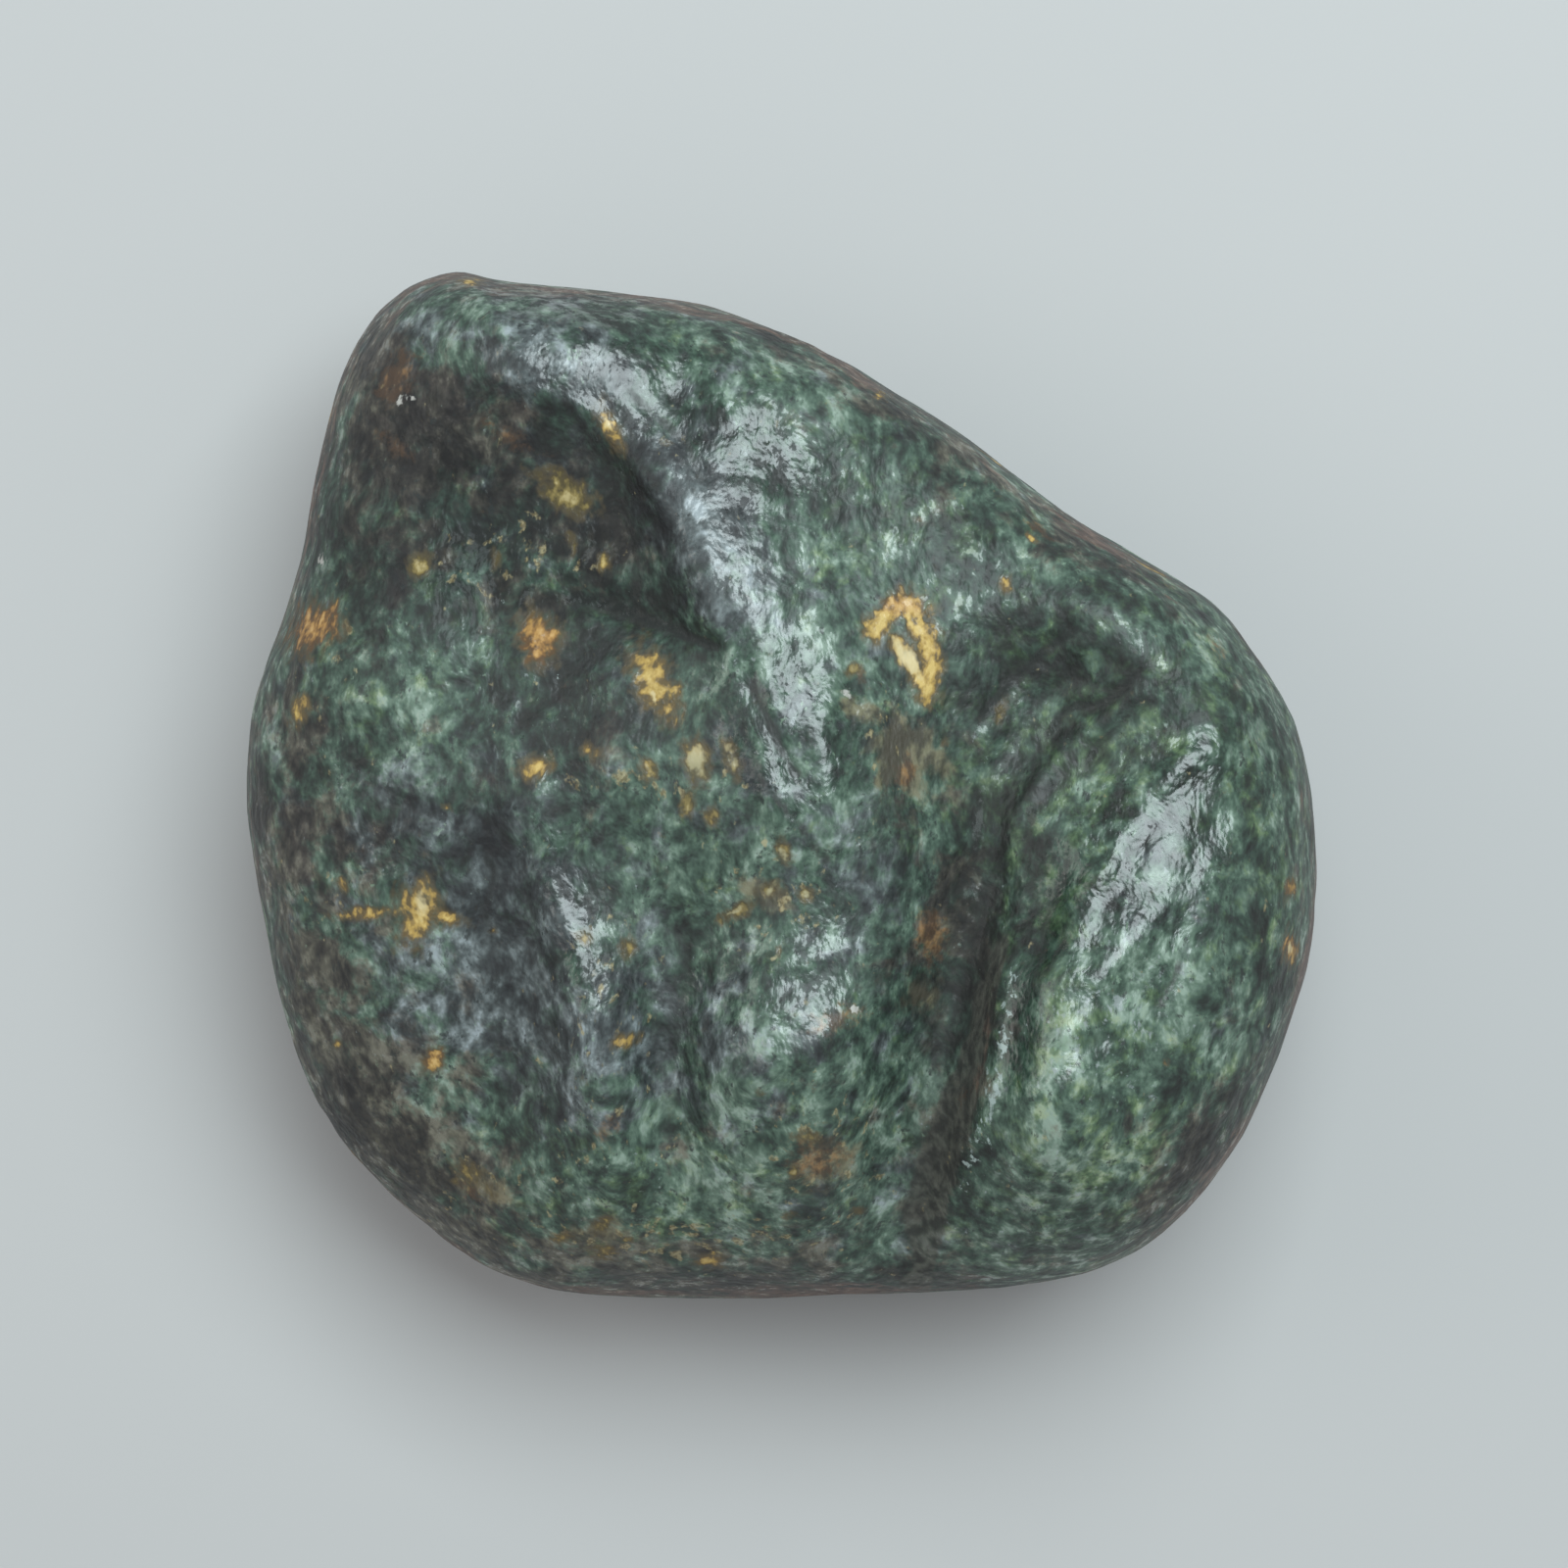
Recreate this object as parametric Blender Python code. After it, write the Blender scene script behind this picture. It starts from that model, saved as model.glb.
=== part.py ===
"""Raw jade boulder: one water-worn stone lying on its broad side.

Units are metres in the scene, +Z up.  The stone is 150 mm along X, about 145 mm
along Y and 80 mm high.  It rests on a flat worn patch at Z = 0.
Lengths below are in millimetres and MM turns them into metres.
"""
import math

import bmesh
import bpy
import numpy as np

# ---------------------------------------------------------------- constants
MM = 0.001

# Plan layout: the outline and every feature of the upper face are placed on a
# square layout grid, u to the right and v downward, one unit being GRID mm.
GRID = 0.138
U0, V0 = 796.5, 801.5          # layout position of the stone's axis

# Girth: the widest outline of the stone, walked round once.
OUTLINE = [
    (1342, 880), (1335, 800), (1312, 722), (1275, 662), (1230, 612),
    (1160, 568), (1102, 534), (1052, 498), (987, 446), (920, 404),
    (862, 370), (790, 337), (720, 312), (640, 299), (560, 292),
    (505, 286), (465, 279), (419, 293), (380, 326), (352, 374),
    (334, 430), (321, 490), (309, 558), (291, 624), (268, 690),
    (254, 750), (251, 820), (260, 890), (276, 971), (298, 1051),
    (327, 1122), (372, 1187), (427, 1239), (492, 1288), (558, 1315),
    (640, 1324), (750, 1325), (850, 1322), (950, 1317), (1040, 1311),
    (1122, 1294), (1184, 1259), (1245, 1194), (1290, 1114), (1321, 1034),
    (1338, 960),
]

# Vertical section: a crowned upper face and a superelliptic underside.
GIRTH_Z = 36.0                 # mean height of the girth
GIRTH_WAVE = ((1, 3.4, 0.6), (2, 2.0, 2.1), (3, 1.2, 4.0))   # lobes, mm, phase
DROP, DROP_POWER = 41.0, 2.15  # underside below the girth, cut off at Z = 0
POWER_WAVE = ((2, 0.16, 0.9), (3, 0.12, 2.6))                # lobes, power, phase
PATCH_EDGE = 1.6               # mm, rounding where the resting patch begins
VIEW_HEIGHT = 600.0            # the layout spreads with height as 1/(this - Z)

# Mesh: a cube of CELLS x CELLS quads a side, rounded into the stone.
CELLS = 28
CROWN_BIAS = 0.22              # packs the cells closer on the crown

# Recentring, so that the origin is under the middle of the bounding box.
SHIFT_X, SHIFT_Y = 0.03, 0.37

# Ridge lines of the upper face, walked from the top of the layout downward.
MAIN_RIDGE = [(425, 340), (485, 378), (545, 400), (598, 422), (637, 458),
              (668, 500), (693, 545), (713, 590), (731, 640), (746, 690),
              (757, 740), (776, 800)]
LOW_RIDGE = [(505, 800), (535, 850), (556, 900), (578, 960), (596, 1020),
             (606, 1080), (612, 1140), (618, 1200)]
FOOT_RIDGE = [(800, 930), (770, 1000), (742, 1060), (728, 1120), (722, 1180)]
GROOVE_EDGE = [(1045, 860), (1038, 910), (1030, 960), (1020, 1010), (1012, 1060),
               (1002, 1110), (990, 1160), (975, 1210), (962, 1260),
               (950, 1325)]

# Crease across the foot of the basin: line, depth mm, width mm, and its oval.
CREASE = [(480, 600), (540, 604), (600, 614), (660, 630), (725, 656), (780, 690)]
CREASE_CUT = (1.9, 3.6, (640, 630), (120, 70), -15, 3.0)

# Steps down on the left of those lines: line, drop mm, width of the step mm,
# then the soft oval each is kept to: centre, half-lengths, turn in degrees, power.
WALLS = [
    (MAIN_RIDGE, 7.5, 9.0, (620, 550), (170, 190), -20, 3.0),
    (LOW_RIDGE, 3.6, 6.5, (540, 1010), (90, 170), 14, 2.6),
    (FOOT_RIDGE, 3.0, 7.0, (715, 1060), (90, 130), -14, 2.6),
    (GROOVE_EDGE, 5.5, 6.5, (975, 1130), (95, 230), -13, 3.0),
]

# Small swells (+) and hollows (-): height mm, centre, half-lengths, turn, power.
SWELLS = [
    (-0.8, (692, 402), (34, 28), 0, 2.0),
    (-0.7, (1075, 655), (60, 36), 25, 2.0),
]

# Upper face: its height above the girth in mm at hand-set places of the layout.
# A thin plate is sprung over them; it dives to the girth at the rim.
CROWN = [
    (600, 335, 32.8), (530, 340, 33.4), (650, 350, 32.2), (540, 400, 34.6), (600, 400, 34.6),
    (660, 420, 34.2), (440, 345, 27.0), (740, 480, 37.0), (770, 560, 40.0), (790, 650, 41.2),
    (808, 740, 42.6), (822, 830, 43.0), (826, 920, 40.4), (812, 1010, 41.4), (790, 1080, 42.6),
    (590, 600, 31.4), (510, 580, 29.6), (440, 500, 27.6), (560, 470, 31.4), (650, 560, 32.8),
    (650, 650, 34.8), (560, 650, 32.6), (640, 720, 37.4), (560, 740, 34.8), (460, 690, 31.2),
    (390, 660, 29.0), (710, 720, 39.2), (640, 800, 38.0), (560, 810, 36.0), (470, 790, 32.5),
    (390, 780, 28.5), (715, 850, 39.6), (640, 870, 35.8), (570, 880, 35.0), (595, 960, 36.6),
    (608, 1040, 38.0), (618, 1110, 37.6), (625, 1180, 33.5), (505, 880, 32.5), (512, 960, 30.0),
    (522, 1040, 28.0), (535, 1120, 25.5), (440, 960, 28.5), (420, 1060, 24.5), (400, 880, 28.5),
    (665, 930, 34.6), (672, 1000, 33.4), (676, 1080, 31.2), (680, 1150, 30.6), (775, 1030, 41.8),
    (755, 1090, 41.6), (745, 1150, 37.0), (730, 1225, 30.5), (850, 560, 36.4), (845, 640, 39.4),
    (870, 730, 40.6), (900, 640, 36.2), (915, 740, 37.6), (890, 830, 40.4), (925, 850, 37.6),
    (900, 950, 38.4), (880, 1050, 40.2), (870, 1150, 36.4), (860, 1240, 30.0), (1000, 620, 33.4),
    (965, 700, 34.0), (985, 800, 32.5), (1000, 900, 31.0), (985, 1010, 30.0), (965, 1090, 28.8),
    (945, 1180, 26.4), (930, 1260, 22.0), (1250, 775, 35.2), (1215, 835, 37.6), (1175, 905, 39.4),
    (1140, 975, 41.0), (1105, 1045, 42.6), (1082, 1105, 43.4), (1050, 1170, 41.0), (1190, 740, 35.2),
    (1135, 870, 38.6), (1100, 950, 40.6), (1075, 1030, 42.0), (1130, 790, 34.6), (1090, 850, 36.6),
    (1065, 920, 36.6), (1045, 1000, 38.9), (1060, 780, 32.0), (1060, 700, 31.6), (1130, 700, 33.4),
    (1290, 880, 32.4), (1255, 960, 36.9), (1215, 1040, 38.6), (1170, 1120, 38.8), (1120, 1190, 37.5),
    (1040, 1240, 31.5), (1190, 680, 34.6), (1110, 630, 34.6), (1040, 590, 32.4), (830, 490, 34.8),
    (940, 540, 31.8), (860, 430, 32.0), (760, 400, 33.4), (700, 355, 30.4), (1217, 928, 39.4),
    (1180, 1000, 40.9), (1146, 1068, 41.6), (480, 335, 31.2), (500, 385, 33.2), (800, 1130, 41.0),
    (562, 338, 33.2),
]
STIFFNESS = 14.0               # lets the plate miss single places a little
RIM_POWER = 3.3                # roundness of the dive at the rim
STEP_FADE = 0.14               # the steps die out over this share of the radius

# Broad hollows and swells of the flanks and the underside:
# depth mm (+ outward), direction in degrees round and up, spread in degrees.
FLANKS = [
    (2.2, 40, -30, 26), (-2.0, 85, -35, 24), (1.6, 130, -28, 22),
    (-2.4, 175, -40, 28), (1.8, 215, -30, 24), (-1.8, 262, -33, 22),
    (2.4, 305, -36, 28), (-1.6, 350, -30, 20), (1.6, 20, -58, 24),
    (-1.8, 140, -60, 22), (1.6, 245, -58, 22),
]
WANDER = 1.1                   # mm, amplitude of the slow unevenness
WANDER_SIZE = 34.0             # mm, its wavelength
SEED = 7


# ---------------------------------------------------------------- helpers
def smooth(t):
    t = np.clip(t, 0.0, 1.0)
    return t * t * (3.0 - 2.0 * t)


def plan(u, v):
    """Layout grid to plan millimetres about the stone's axis."""
    return np.array([(u - U0) * GRID, (V0 - v) * GRID])


def spline(points, closed, n):
    """Catmull-Rom curve through the points."""
    p = [np.asarray(q, float) for q in points]
    if closed:
        p = [p[-1]] + p + p[:2]
    else:
        p = [2 * p[0] - p[1]] + p + [2 * p[-1] - p[-2]]
    out = []
    for i in range(1, len(p) - 2):
        a, b, c, d = p[i - 1:i + 3]
        for k in range(n):
            f = k / n
            out.append(0.5 * (2 * b + (c - a) * f
                              + (2 * a - 5 * b + 4 * c - d) * f * f
                              + (3 * b - a - 3 * c + d) * f ** 3))
    if not closed:
        out.append(p[-2])
    return np.array(out)


def outline_radius(theta):
    """Radius of the girth in mm at each azimuth."""
    c = spline([plan(u, v) for u, v in OUTLINE], True, 8)
    ang = np.arctan2(c[:, 1], c[:, 0]) % (2 * math.pi)
    rad = np.hypot(c[:, 0], c[:, 1])
    order = np.argsort(ang)
    ang, rad = ang[order], rad[order]
    ang = np.concatenate([ang - 2 * math.pi, ang, ang + 2 * math.pi])
    rad = np.concatenate([rad, rad, rad])
    return np.interp(theta % (2 * math.pi), ang, rad)


def signed(x, y, line):
    """Distance to a line in mm, positive on the right hand of its travel."""
    q = spline([plan(u, v) for u, v in line], False, 5)
    a = q[0] + (q[0] - q[1]) / np.hypot(*(q[0] - q[1])) * 60.0
    b = q[-1] + (q[-1] - q[-2]) / np.hypot(*(q[-1] - q[-2])) * 60.0
    q = np.vstack([a, q, b])
    best = np.full(x.shape, 1e9)
    out = np.zeros(x.shape)
    for p0, p1 in zip(q[:-1], q[1:]):
        length = math.hypot(*(p1 - p0))
        tx, ty = (p1 - p0) / length
        s = np.clip((x - p0[0]) * tx + (y - p0[1]) * ty, 0.0, length)
        ex, ey = x - p0[0] - s * tx, y - p0[1] - s * ty
        dist = np.hypot(ex, ey)
        near = dist < best
        best = np.where(near, dist, best)
        out = np.where(near, np.where(ty * ex - tx * ey > 0, dist, -dist), out)
    return out


def fall(t):
    """Step profile: a crisp brow, then an easing slope, 0 to 1."""
    return 1.0 - np.exp(-2.2 * np.maximum(t, 0.0) ** 1.35)


def blob(x, y, centre, half, turn, power):
    """Soft elliptical bump of height 1."""
    cx, cy = plan(*centre)
    a = math.radians(turn)
    dx, dy = x - cx, y - cy
    lx = (dx * math.cos(a) + dy * math.sin(a)) / (half[0] * GRID)
    ly = (-dx * math.sin(a) + dy * math.cos(a)) / (half[1] * GRID)
    return np.exp(-(lx * lx + ly * ly) ** (power / 2.0))


def steps(x, y):
    """Height in mm of the ridge steps and small swells of the upper face."""
    z = np.zeros(x.shape)
    for line, drop, wide, centre, half, turn, power in WALLS:
        d = signed(x, y, line)                 # walked down: + is to the left
        z -= drop * fall((d + 0.6) / wide) * blob(x, y, centre, half, turn, power)
    depth, wide, centre, half, turn, power = CREASE_CUT
    d = signed(x, y, CREASE)
    z -= depth * np.exp(-np.sqrt(d * d + 0.6) / wide) * blob(x, y, centre, half, turn, power)
    for height, centre, half, turn, power in SWELLS:
        z += height * blob(x, y, centre, half, turn, power)
    return z


def dive(rho):
    """Share of the height left at a share rho of the way to the rim."""
    return (1.0 - np.clip(rho, 0.0, 1.0) ** RIM_POWER) ** (1.0 / RIM_POWER)


def plate_kernel(r2):
    return np.where(r2 > 0.0, r2 * np.log(np.maximum(r2, 1e-12)), 0.0)


def crown(x, y):
    """Thin plate through the set heights, in mm."""
    at = np.array([plan(u, v) for u, v, _ in CROWN])
    px, py = at[:, 0], at[:, 1]
    rho = np.hypot(px, py) / outline_radius(np.arctan2(py, px))
    want = (np.array([c[2] for c in CROWN]) - steps(px, py)) / dive(rho)
    n = len(at)
    m = np.zeros((n + 3, n + 3))
    m[:n, :n] = plate_kernel((px[:, None] - px) ** 2 + (py[:, None] - py) ** 2)
    m[:n, :n] += np.eye(n) * STIFFNESS
    m[:n, n:] = np.stack([np.ones(n), px, py], axis=1)
    m[n:, :n] = m[:n, n:].T
    w = np.linalg.solve(m, np.concatenate([want, np.zeros(3)]))
    z = w[n] + w[n + 1] * x + w[n + 2] * y
    for k in range(n):
        z = z + w[k] * plate_kernel((x - px[k]) ** 2 + (y - py[k]) ** 2)
    return z


def lattice_noise(p, seed):
    """Smooth gradient noise, about -1..1, at points p (n x 3)."""
    rng = np.random.RandomState(seed)
    table = rng.permutation(256)
    table = np.concatenate([table, table])
    grads = rng.normal(size=(256, 3))
    grads /= np.linalg.norm(grads, axis=1)[:, None]
    cell = np.floor(p).astype(int)
    f = p - cell
    w = f ** 3 * (f * (f * 6.0 - 15.0) + 10.0)
    cell = cell & 255
    total = np.zeros(len(p))
    for i in (0, 1):
        for j in (0, 1):
            for k in (0, 1):
                h = table[(table[(table[(cell[:, 0] + i) & 255] + cell[:, 1] + j) & 255]
                           + cell[:, 2] + k) & 255]
                g = grads[h]
                d = f - np.array([i, j, k])
                ww = ((w[:, 0] if i else 1 - w[:, 0])
                      * (w[:, 1] if j else 1 - w[:, 1])
                      * (w[:, 2] if k else 1 - w[:, 2]))
                total += ww * np.sum(g * d, axis=1)
    return total * 1.5


def stone(directions):
    """Unit directions (n x 3) to surface points of the stone in mm."""
    d = directions / np.linalg.norm(directions, axis=1)[:, None]
    theta = np.arctan2(d[:, 1], d[:, 0])
    psi = np.arccos(np.clip(d[:, 2], -1.0, 1.0))
    psi = psi - CROWN_BIAS * np.sin(psi)
    up = np.cos(psi) >= 0.0
    power = np.where(up, RIM_POWER, DROP_POWER + sum(
        a * np.sin(n * theta + ph) for n, a, ph in POWER_WAVE) * np.sin(psi))
    s, c = np.sin(psi), np.abs(np.cos(psi))
    t = (s ** power + c ** power) ** (-1.0 / power)
    rho, zeta = t * s, t * c
    radius = outline_radius(theta)
    wave = sum(a * np.sin(n * theta + ph) for n, a, ph in GIRTH_WAVE)

    # Upper face: the plate and the steps; both halves spread with height.
    lx = radius * rho * np.cos(theta)
    ly = radius * rho * np.sin(theta)
    above = (wave * rho ** 4 + crown(lx, ly) * zeta
             + steps(lx, ly) * smooth((1.0 - rho) / STEP_FADE))
    z = GIRTH_Z + np.where(up, above, wave * rho - DROP * zeta)
    k = VIEW_HEIGHT - np.where(up, z, GIRTH_Z + wave)
    k = k / (VIEW_HEIGHT - GIRTH_Z)
    p = np.stack([lx * k, ly * k, z], axis=1)

    # Outward direction for the flank relief.
    out = np.stack([rho * np.cos(theta) / radius * 75.0,
                    rho * np.sin(theta) / radius * 75.0,
                    np.where(up, 1.0, -1.0) * zeta * 1.4], axis=1)
    out /= np.linalg.norm(out, axis=1)[:, None]
    push = np.zeros(len(p))
    for depth, az, el, spread in FLANKS:
        a, e = math.radians(az), math.radians(el)
        v = np.array([math.cos(a) * math.cos(e), math.sin(a) * math.cos(e), math.sin(e)])
        angle = np.degrees(np.arccos(np.clip(out @ v, -1.0, 1.0)))
        push += depth * np.exp(-(angle / spread) ** 2)
    wander = WANDER * (lattice_noise(p / WANDER_SIZE + 11.3, SEED)
                       + 0.45 * lattice_noise(p / (WANDER_SIZE * 0.45) + 3.7, SEED + 1))
    calm = 1.0 - 0.75 * np.exp(-((psi - math.pi / 2) / 0.22) ** 2)   # keeps the girth true
    still = np.where(up, 0.25 + 0.75 * rho ** 6, 1.0)                # keeps the crown true
    p += out * ((push * ~up + wander * still) * calm)[:, None]

    # Worn resting patch.
    low = np.clip(p[:, 2] + PATCH_EDGE, 0.0, 2.0 * PATCH_EDGE)
    p[:, 2] = np.where(p[:, 2] < PATCH_EDGE, low ** 2 / (4.0 * PATCH_EDGE), p[:, 2])
    p[:, 0] += SHIFT_X
    p[:, 1] += SHIFT_Y
    return p


# ---------------------------------------------------------------- build
def clear_scene():
    for ob in list(bpy.data.objects):
        bpy.data.objects.remove(ob, do_unlink=True)


def jade_material():
    mat = bpy.data.materials.new("jade_skin")
    mat.use_nodes = True
    bsdf = mat.node_tree.nodes["Principled BSDF"]
    bsdf.inputs["Base Color"].default_value = (0.11, 0.14, 0.12, 1.0)
    bsdf.inputs["Roughness"].default_value = 0.35
    bsdf.inputs["Metallic"].default_value = 0.0
    return mat


def build_boulder():
    bm = bmesh.new()
    bmesh.ops.create_cube(bm, size=2.0)
    bmesh.ops.subdivide_edges(bm, edges=bm.edges[:], cuts=CELLS - 1,
                              use_grid_fill=True)
    bm.verts.ensure_lookup_table()
    cube = np.array([v.co[:] for v in bm.verts])
    even = np.tan(np.clip(cube, -1.0, 1.0) * math.pi / 4.0)   # evens out the cells
    points = stone(even) * MM
    for vert, co in zip(bm.verts, points):
        vert.co = co
    bmesh.ops.triangulate(bm, faces=bm.faces[:], quad_method='SHORT_EDGE')
    bmesh.ops.recalc_face_normals(bm, faces=bm.faces[:])
    mesh = bpy.data.meshes.new("jade_boulder")
    bm.to_mesh(mesh)
    bm.free()
    mesh.materials.append(jade_material())
    for poly in mesh.polygons:
        poly.use_smooth = True
    ob = bpy.data.objects.new("jade_boulder", mesh)
    bpy.context.scene.collection.objects.link(ob)
    return ob


clear_scene()
build_boulder()
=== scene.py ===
"""Raw jade boulder: the visible stone, its skin and a plain studio.

The stone's shape repeats the CAD's construction on a finer mesh and adds the
small relief: low crests, furrows, swells, fibres and pits.  Lengths are in
millimetres until the mesh is made, and MM turns them into metres.
"""
import math

import bpy
import numpy as np
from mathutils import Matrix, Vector, kdtree


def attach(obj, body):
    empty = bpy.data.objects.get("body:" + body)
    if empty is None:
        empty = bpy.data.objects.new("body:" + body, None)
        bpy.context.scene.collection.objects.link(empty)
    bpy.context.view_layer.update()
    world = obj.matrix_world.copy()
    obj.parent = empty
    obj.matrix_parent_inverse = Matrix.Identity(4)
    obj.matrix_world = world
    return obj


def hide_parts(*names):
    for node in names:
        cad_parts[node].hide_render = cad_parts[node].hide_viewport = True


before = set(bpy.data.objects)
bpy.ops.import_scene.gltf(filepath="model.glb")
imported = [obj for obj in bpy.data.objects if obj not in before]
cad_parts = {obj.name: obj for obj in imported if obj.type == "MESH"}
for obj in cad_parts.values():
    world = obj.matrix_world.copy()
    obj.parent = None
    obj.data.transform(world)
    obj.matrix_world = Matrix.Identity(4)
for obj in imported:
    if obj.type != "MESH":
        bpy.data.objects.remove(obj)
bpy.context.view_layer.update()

MM = 0.001

# ------------------------------------------------------------- construction
GRID = 0.138
U0, V0 = 796.5, 801.5
OUTLINE = [
    (1342, 880), (1335, 800), (1312, 722), (1275, 662), (1230, 612),
    (1160, 568), (1102, 534), (1052, 498), (987, 446), (920, 404),
    (862, 370), (790, 337), (720, 312), (640, 299), (560, 292),
    (505, 286), (465, 279), (419, 293), (380, 326), (352, 374),
    (334, 430), (321, 490), (309, 558), (291, 624), (268, 690),
    (254, 750), (251, 820), (260, 890), (276, 971), (298, 1051),
    (327, 1122), (372, 1187), (427, 1239), (492, 1288), (558, 1315),
    (640, 1324), (750, 1325), (850, 1322), (950, 1317), (1040, 1311),
    (1122, 1294), (1184, 1259), (1245, 1194), (1290, 1114), (1321, 1034),
    (1338, 960),
]
GIRTH_Z = 36.0
GIRTH_WAVE = ((1, 3.4, 0.6), (2, 2.0, 2.1), (3, 1.2, 4.0))
DROP, DROP_POWER = 41.0, 2.15
POWER_WAVE = ((2, 0.16, 0.9), (3, 0.12, 2.6))
PATCH_EDGE = 1.6
VIEW_HEIGHT = 600.0
CELLS = 128
CROWN_BIAS = 0.22
SHIFT_X, SHIFT_Y = 0.03, 0.37

# Ridge lines of the upper face, walked from the top of the layout downward.
MAIN_RIDGE = [(425, 340), (485, 378), (545, 400), (598, 422), (637, 458),
              (668, 500), (693, 545), (713, 590), (731, 640), (746, 690),
              (757, 740), (776, 800)]
LOW_RIDGE = [(505, 800), (535, 850), (556, 900), (578, 960), (596, 1020),
             (606, 1080), (612, 1140), (618, 1200)]
FOOT_RIDGE = [(800, 930), (770, 1000), (742, 1060), (728, 1120), (722, 1180)]
GROOVE_EDGE = [(1045, 860), (1038, 910), (1030, 960), (1020, 1010), (1012, 1060),
               (1002, 1110), (990, 1160), (975, 1210), (962, 1260),
               (950, 1325)]

# Crease across the foot of the basin: line, depth mm, width mm, and its oval.
CREASE = [(480, 600), (540, 604), (600, 614), (660, 630), (725, 656), (780, 690)]
CREASE_CUT = (1.9, 3.6, (640, 630), (120, 70), -15, 3.0)

# Steps down on the left of those lines: line, drop mm, width of the step mm,
# then the soft oval each is kept to: centre, half-lengths, turn in degrees, power.
WALLS = [
    (MAIN_RIDGE, 7.5, 9.0, (620, 550), (170, 190), -20, 3.0),
    (LOW_RIDGE, 3.6, 6.5, (540, 1010), (90, 170), 14, 2.6),
    (FOOT_RIDGE, 3.0, 7.0, (715, 1060), (90, 130), -14, 2.6),
    (GROOVE_EDGE, 5.5, 6.5, (975, 1130), (95, 230), -13, 3.0),
]

# Small swells (+) and hollows (-): height mm, centre, half-lengths, turn, power.
SWELLS = [
    (-0.8, (692, 402), (34, 28), 0, 2.0),
    (-0.7, (1075, 655), (60, 36), 25, 2.0),
]

# Upper face: its height above the girth in mm at given places of the layout.
# A thin plate is sprung over them; it dives to the girth at the rim.
CROWN = [
    (600, 335, 32.8), (530, 340, 33.4), (650, 350, 32.2), (540, 400, 34.6), (600, 400, 34.6),
    (660, 420, 34.2), (440, 345, 27.0), (740, 480, 37.0), (770, 560, 40.0), (790, 650, 41.2),
    (808, 740, 42.6), (822, 830, 43.0), (826, 920, 40.4), (812, 1010, 41.4), (790, 1080, 42.6),
    (590, 600, 31.4), (510, 580, 29.6), (440, 500, 27.6), (560, 470, 31.4), (650, 560, 32.8),
    (650, 650, 34.8), (560, 650, 32.6), (640, 720, 37.4), (560, 740, 34.8), (460, 690, 31.2),
    (390, 660, 29.0), (710, 720, 39.2), (640, 800, 38.0), (560, 810, 36.0), (470, 790, 32.5),
    (390, 780, 28.5), (715, 850, 39.6), (640, 870, 35.8), (570, 880, 35.0), (595, 960, 36.6),
    (608, 1040, 38.0), (618, 1110, 37.6), (625, 1180, 33.5), (505, 880, 32.5), (512, 960, 30.0),
    (522, 1040, 28.0), (535, 1120, 25.5), (440, 960, 28.5), (420, 1060, 24.5), (400, 880, 28.5),
    (665, 930, 34.6), (672, 1000, 33.4), (676, 1080, 31.2), (680, 1150, 30.6), (775, 1030, 41.8),
    (755, 1090, 41.6), (745, 1150, 37.0), (730, 1225, 30.5), (850, 560, 36.4), (845, 640, 39.4),
    (870, 730, 40.6), (900, 640, 36.2), (915, 740, 37.6), (890, 830, 40.4), (925, 850, 37.6),
    (900, 950, 38.4), (880, 1050, 40.2), (870, 1150, 36.4), (860, 1240, 30.0), (1000, 620, 33.4),
    (965, 700, 34.0), (985, 800, 32.5), (1000, 900, 31.0), (985, 1010, 30.0), (965, 1090, 28.8),
    (945, 1180, 26.4), (930, 1260, 22.0), (1250, 775, 35.2), (1215, 835, 37.6), (1175, 905, 39.4),
    (1140, 975, 41.0), (1105, 1045, 42.6), (1082, 1105, 43.4), (1050, 1170, 41.0), (1190, 740, 35.2),
    (1135, 870, 38.6), (1100, 950, 40.6), (1075, 1030, 42.0), (1130, 790, 34.6), (1090, 850, 36.6),
    (1065, 920, 36.6), (1045, 1000, 38.9), (1060, 780, 32.0), (1060, 700, 31.6), (1130, 700, 33.4),
    (1290, 880, 32.4), (1255, 960, 36.9), (1215, 1040, 38.6), (1170, 1120, 38.8), (1120, 1190, 37.5),
    (1040, 1240, 31.5), (1190, 680, 34.6), (1110, 630, 34.6), (1040, 590, 32.4), (830, 490, 34.8),
    (940, 540, 31.8), (860, 430, 32.0), (760, 400, 33.4), (700, 355, 30.4), (1217, 928, 39.4),
    (1180, 1000, 40.9), (1146, 1068, 41.6), (480, 335, 31.2), (500, 385, 33.2), (800, 1130, 41.0),
    (562, 338, 33.2),
]
STIFFNESS = 14.0               # lets the plate miss single places a little
RIM_POWER = 3.3                # roundness of the dive at the rim
STEP_FADE = 0.14               # the steps die out over this share of the radius
FLANKS = [
    (2.2, 40, -30, 26), (-2.0, 85, -35, 24), (1.6, 130, -28, 22),
    (-2.4, 175, -40, 28), (1.8, 215, -30, 24), (-1.8, 262, -33, 22),
    (2.4, 305, -36, 28), (-1.6, 350, -30, 20), (1.6, 20, -58, 24),
    (-1.8, 140, -60, 22), (1.6, 245, -58, 22),
]
WANDER = 1.1
WANDER_SIZE = 34.0
SEED = 7


def smooth(t):
    t = np.clip(t, 0.0, 1.0)
    return t * t * (3.0 - 2.0 * t)


def plan(u, v):
    return np.array([(u - U0) * GRID, (V0 - v) * GRID])


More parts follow.
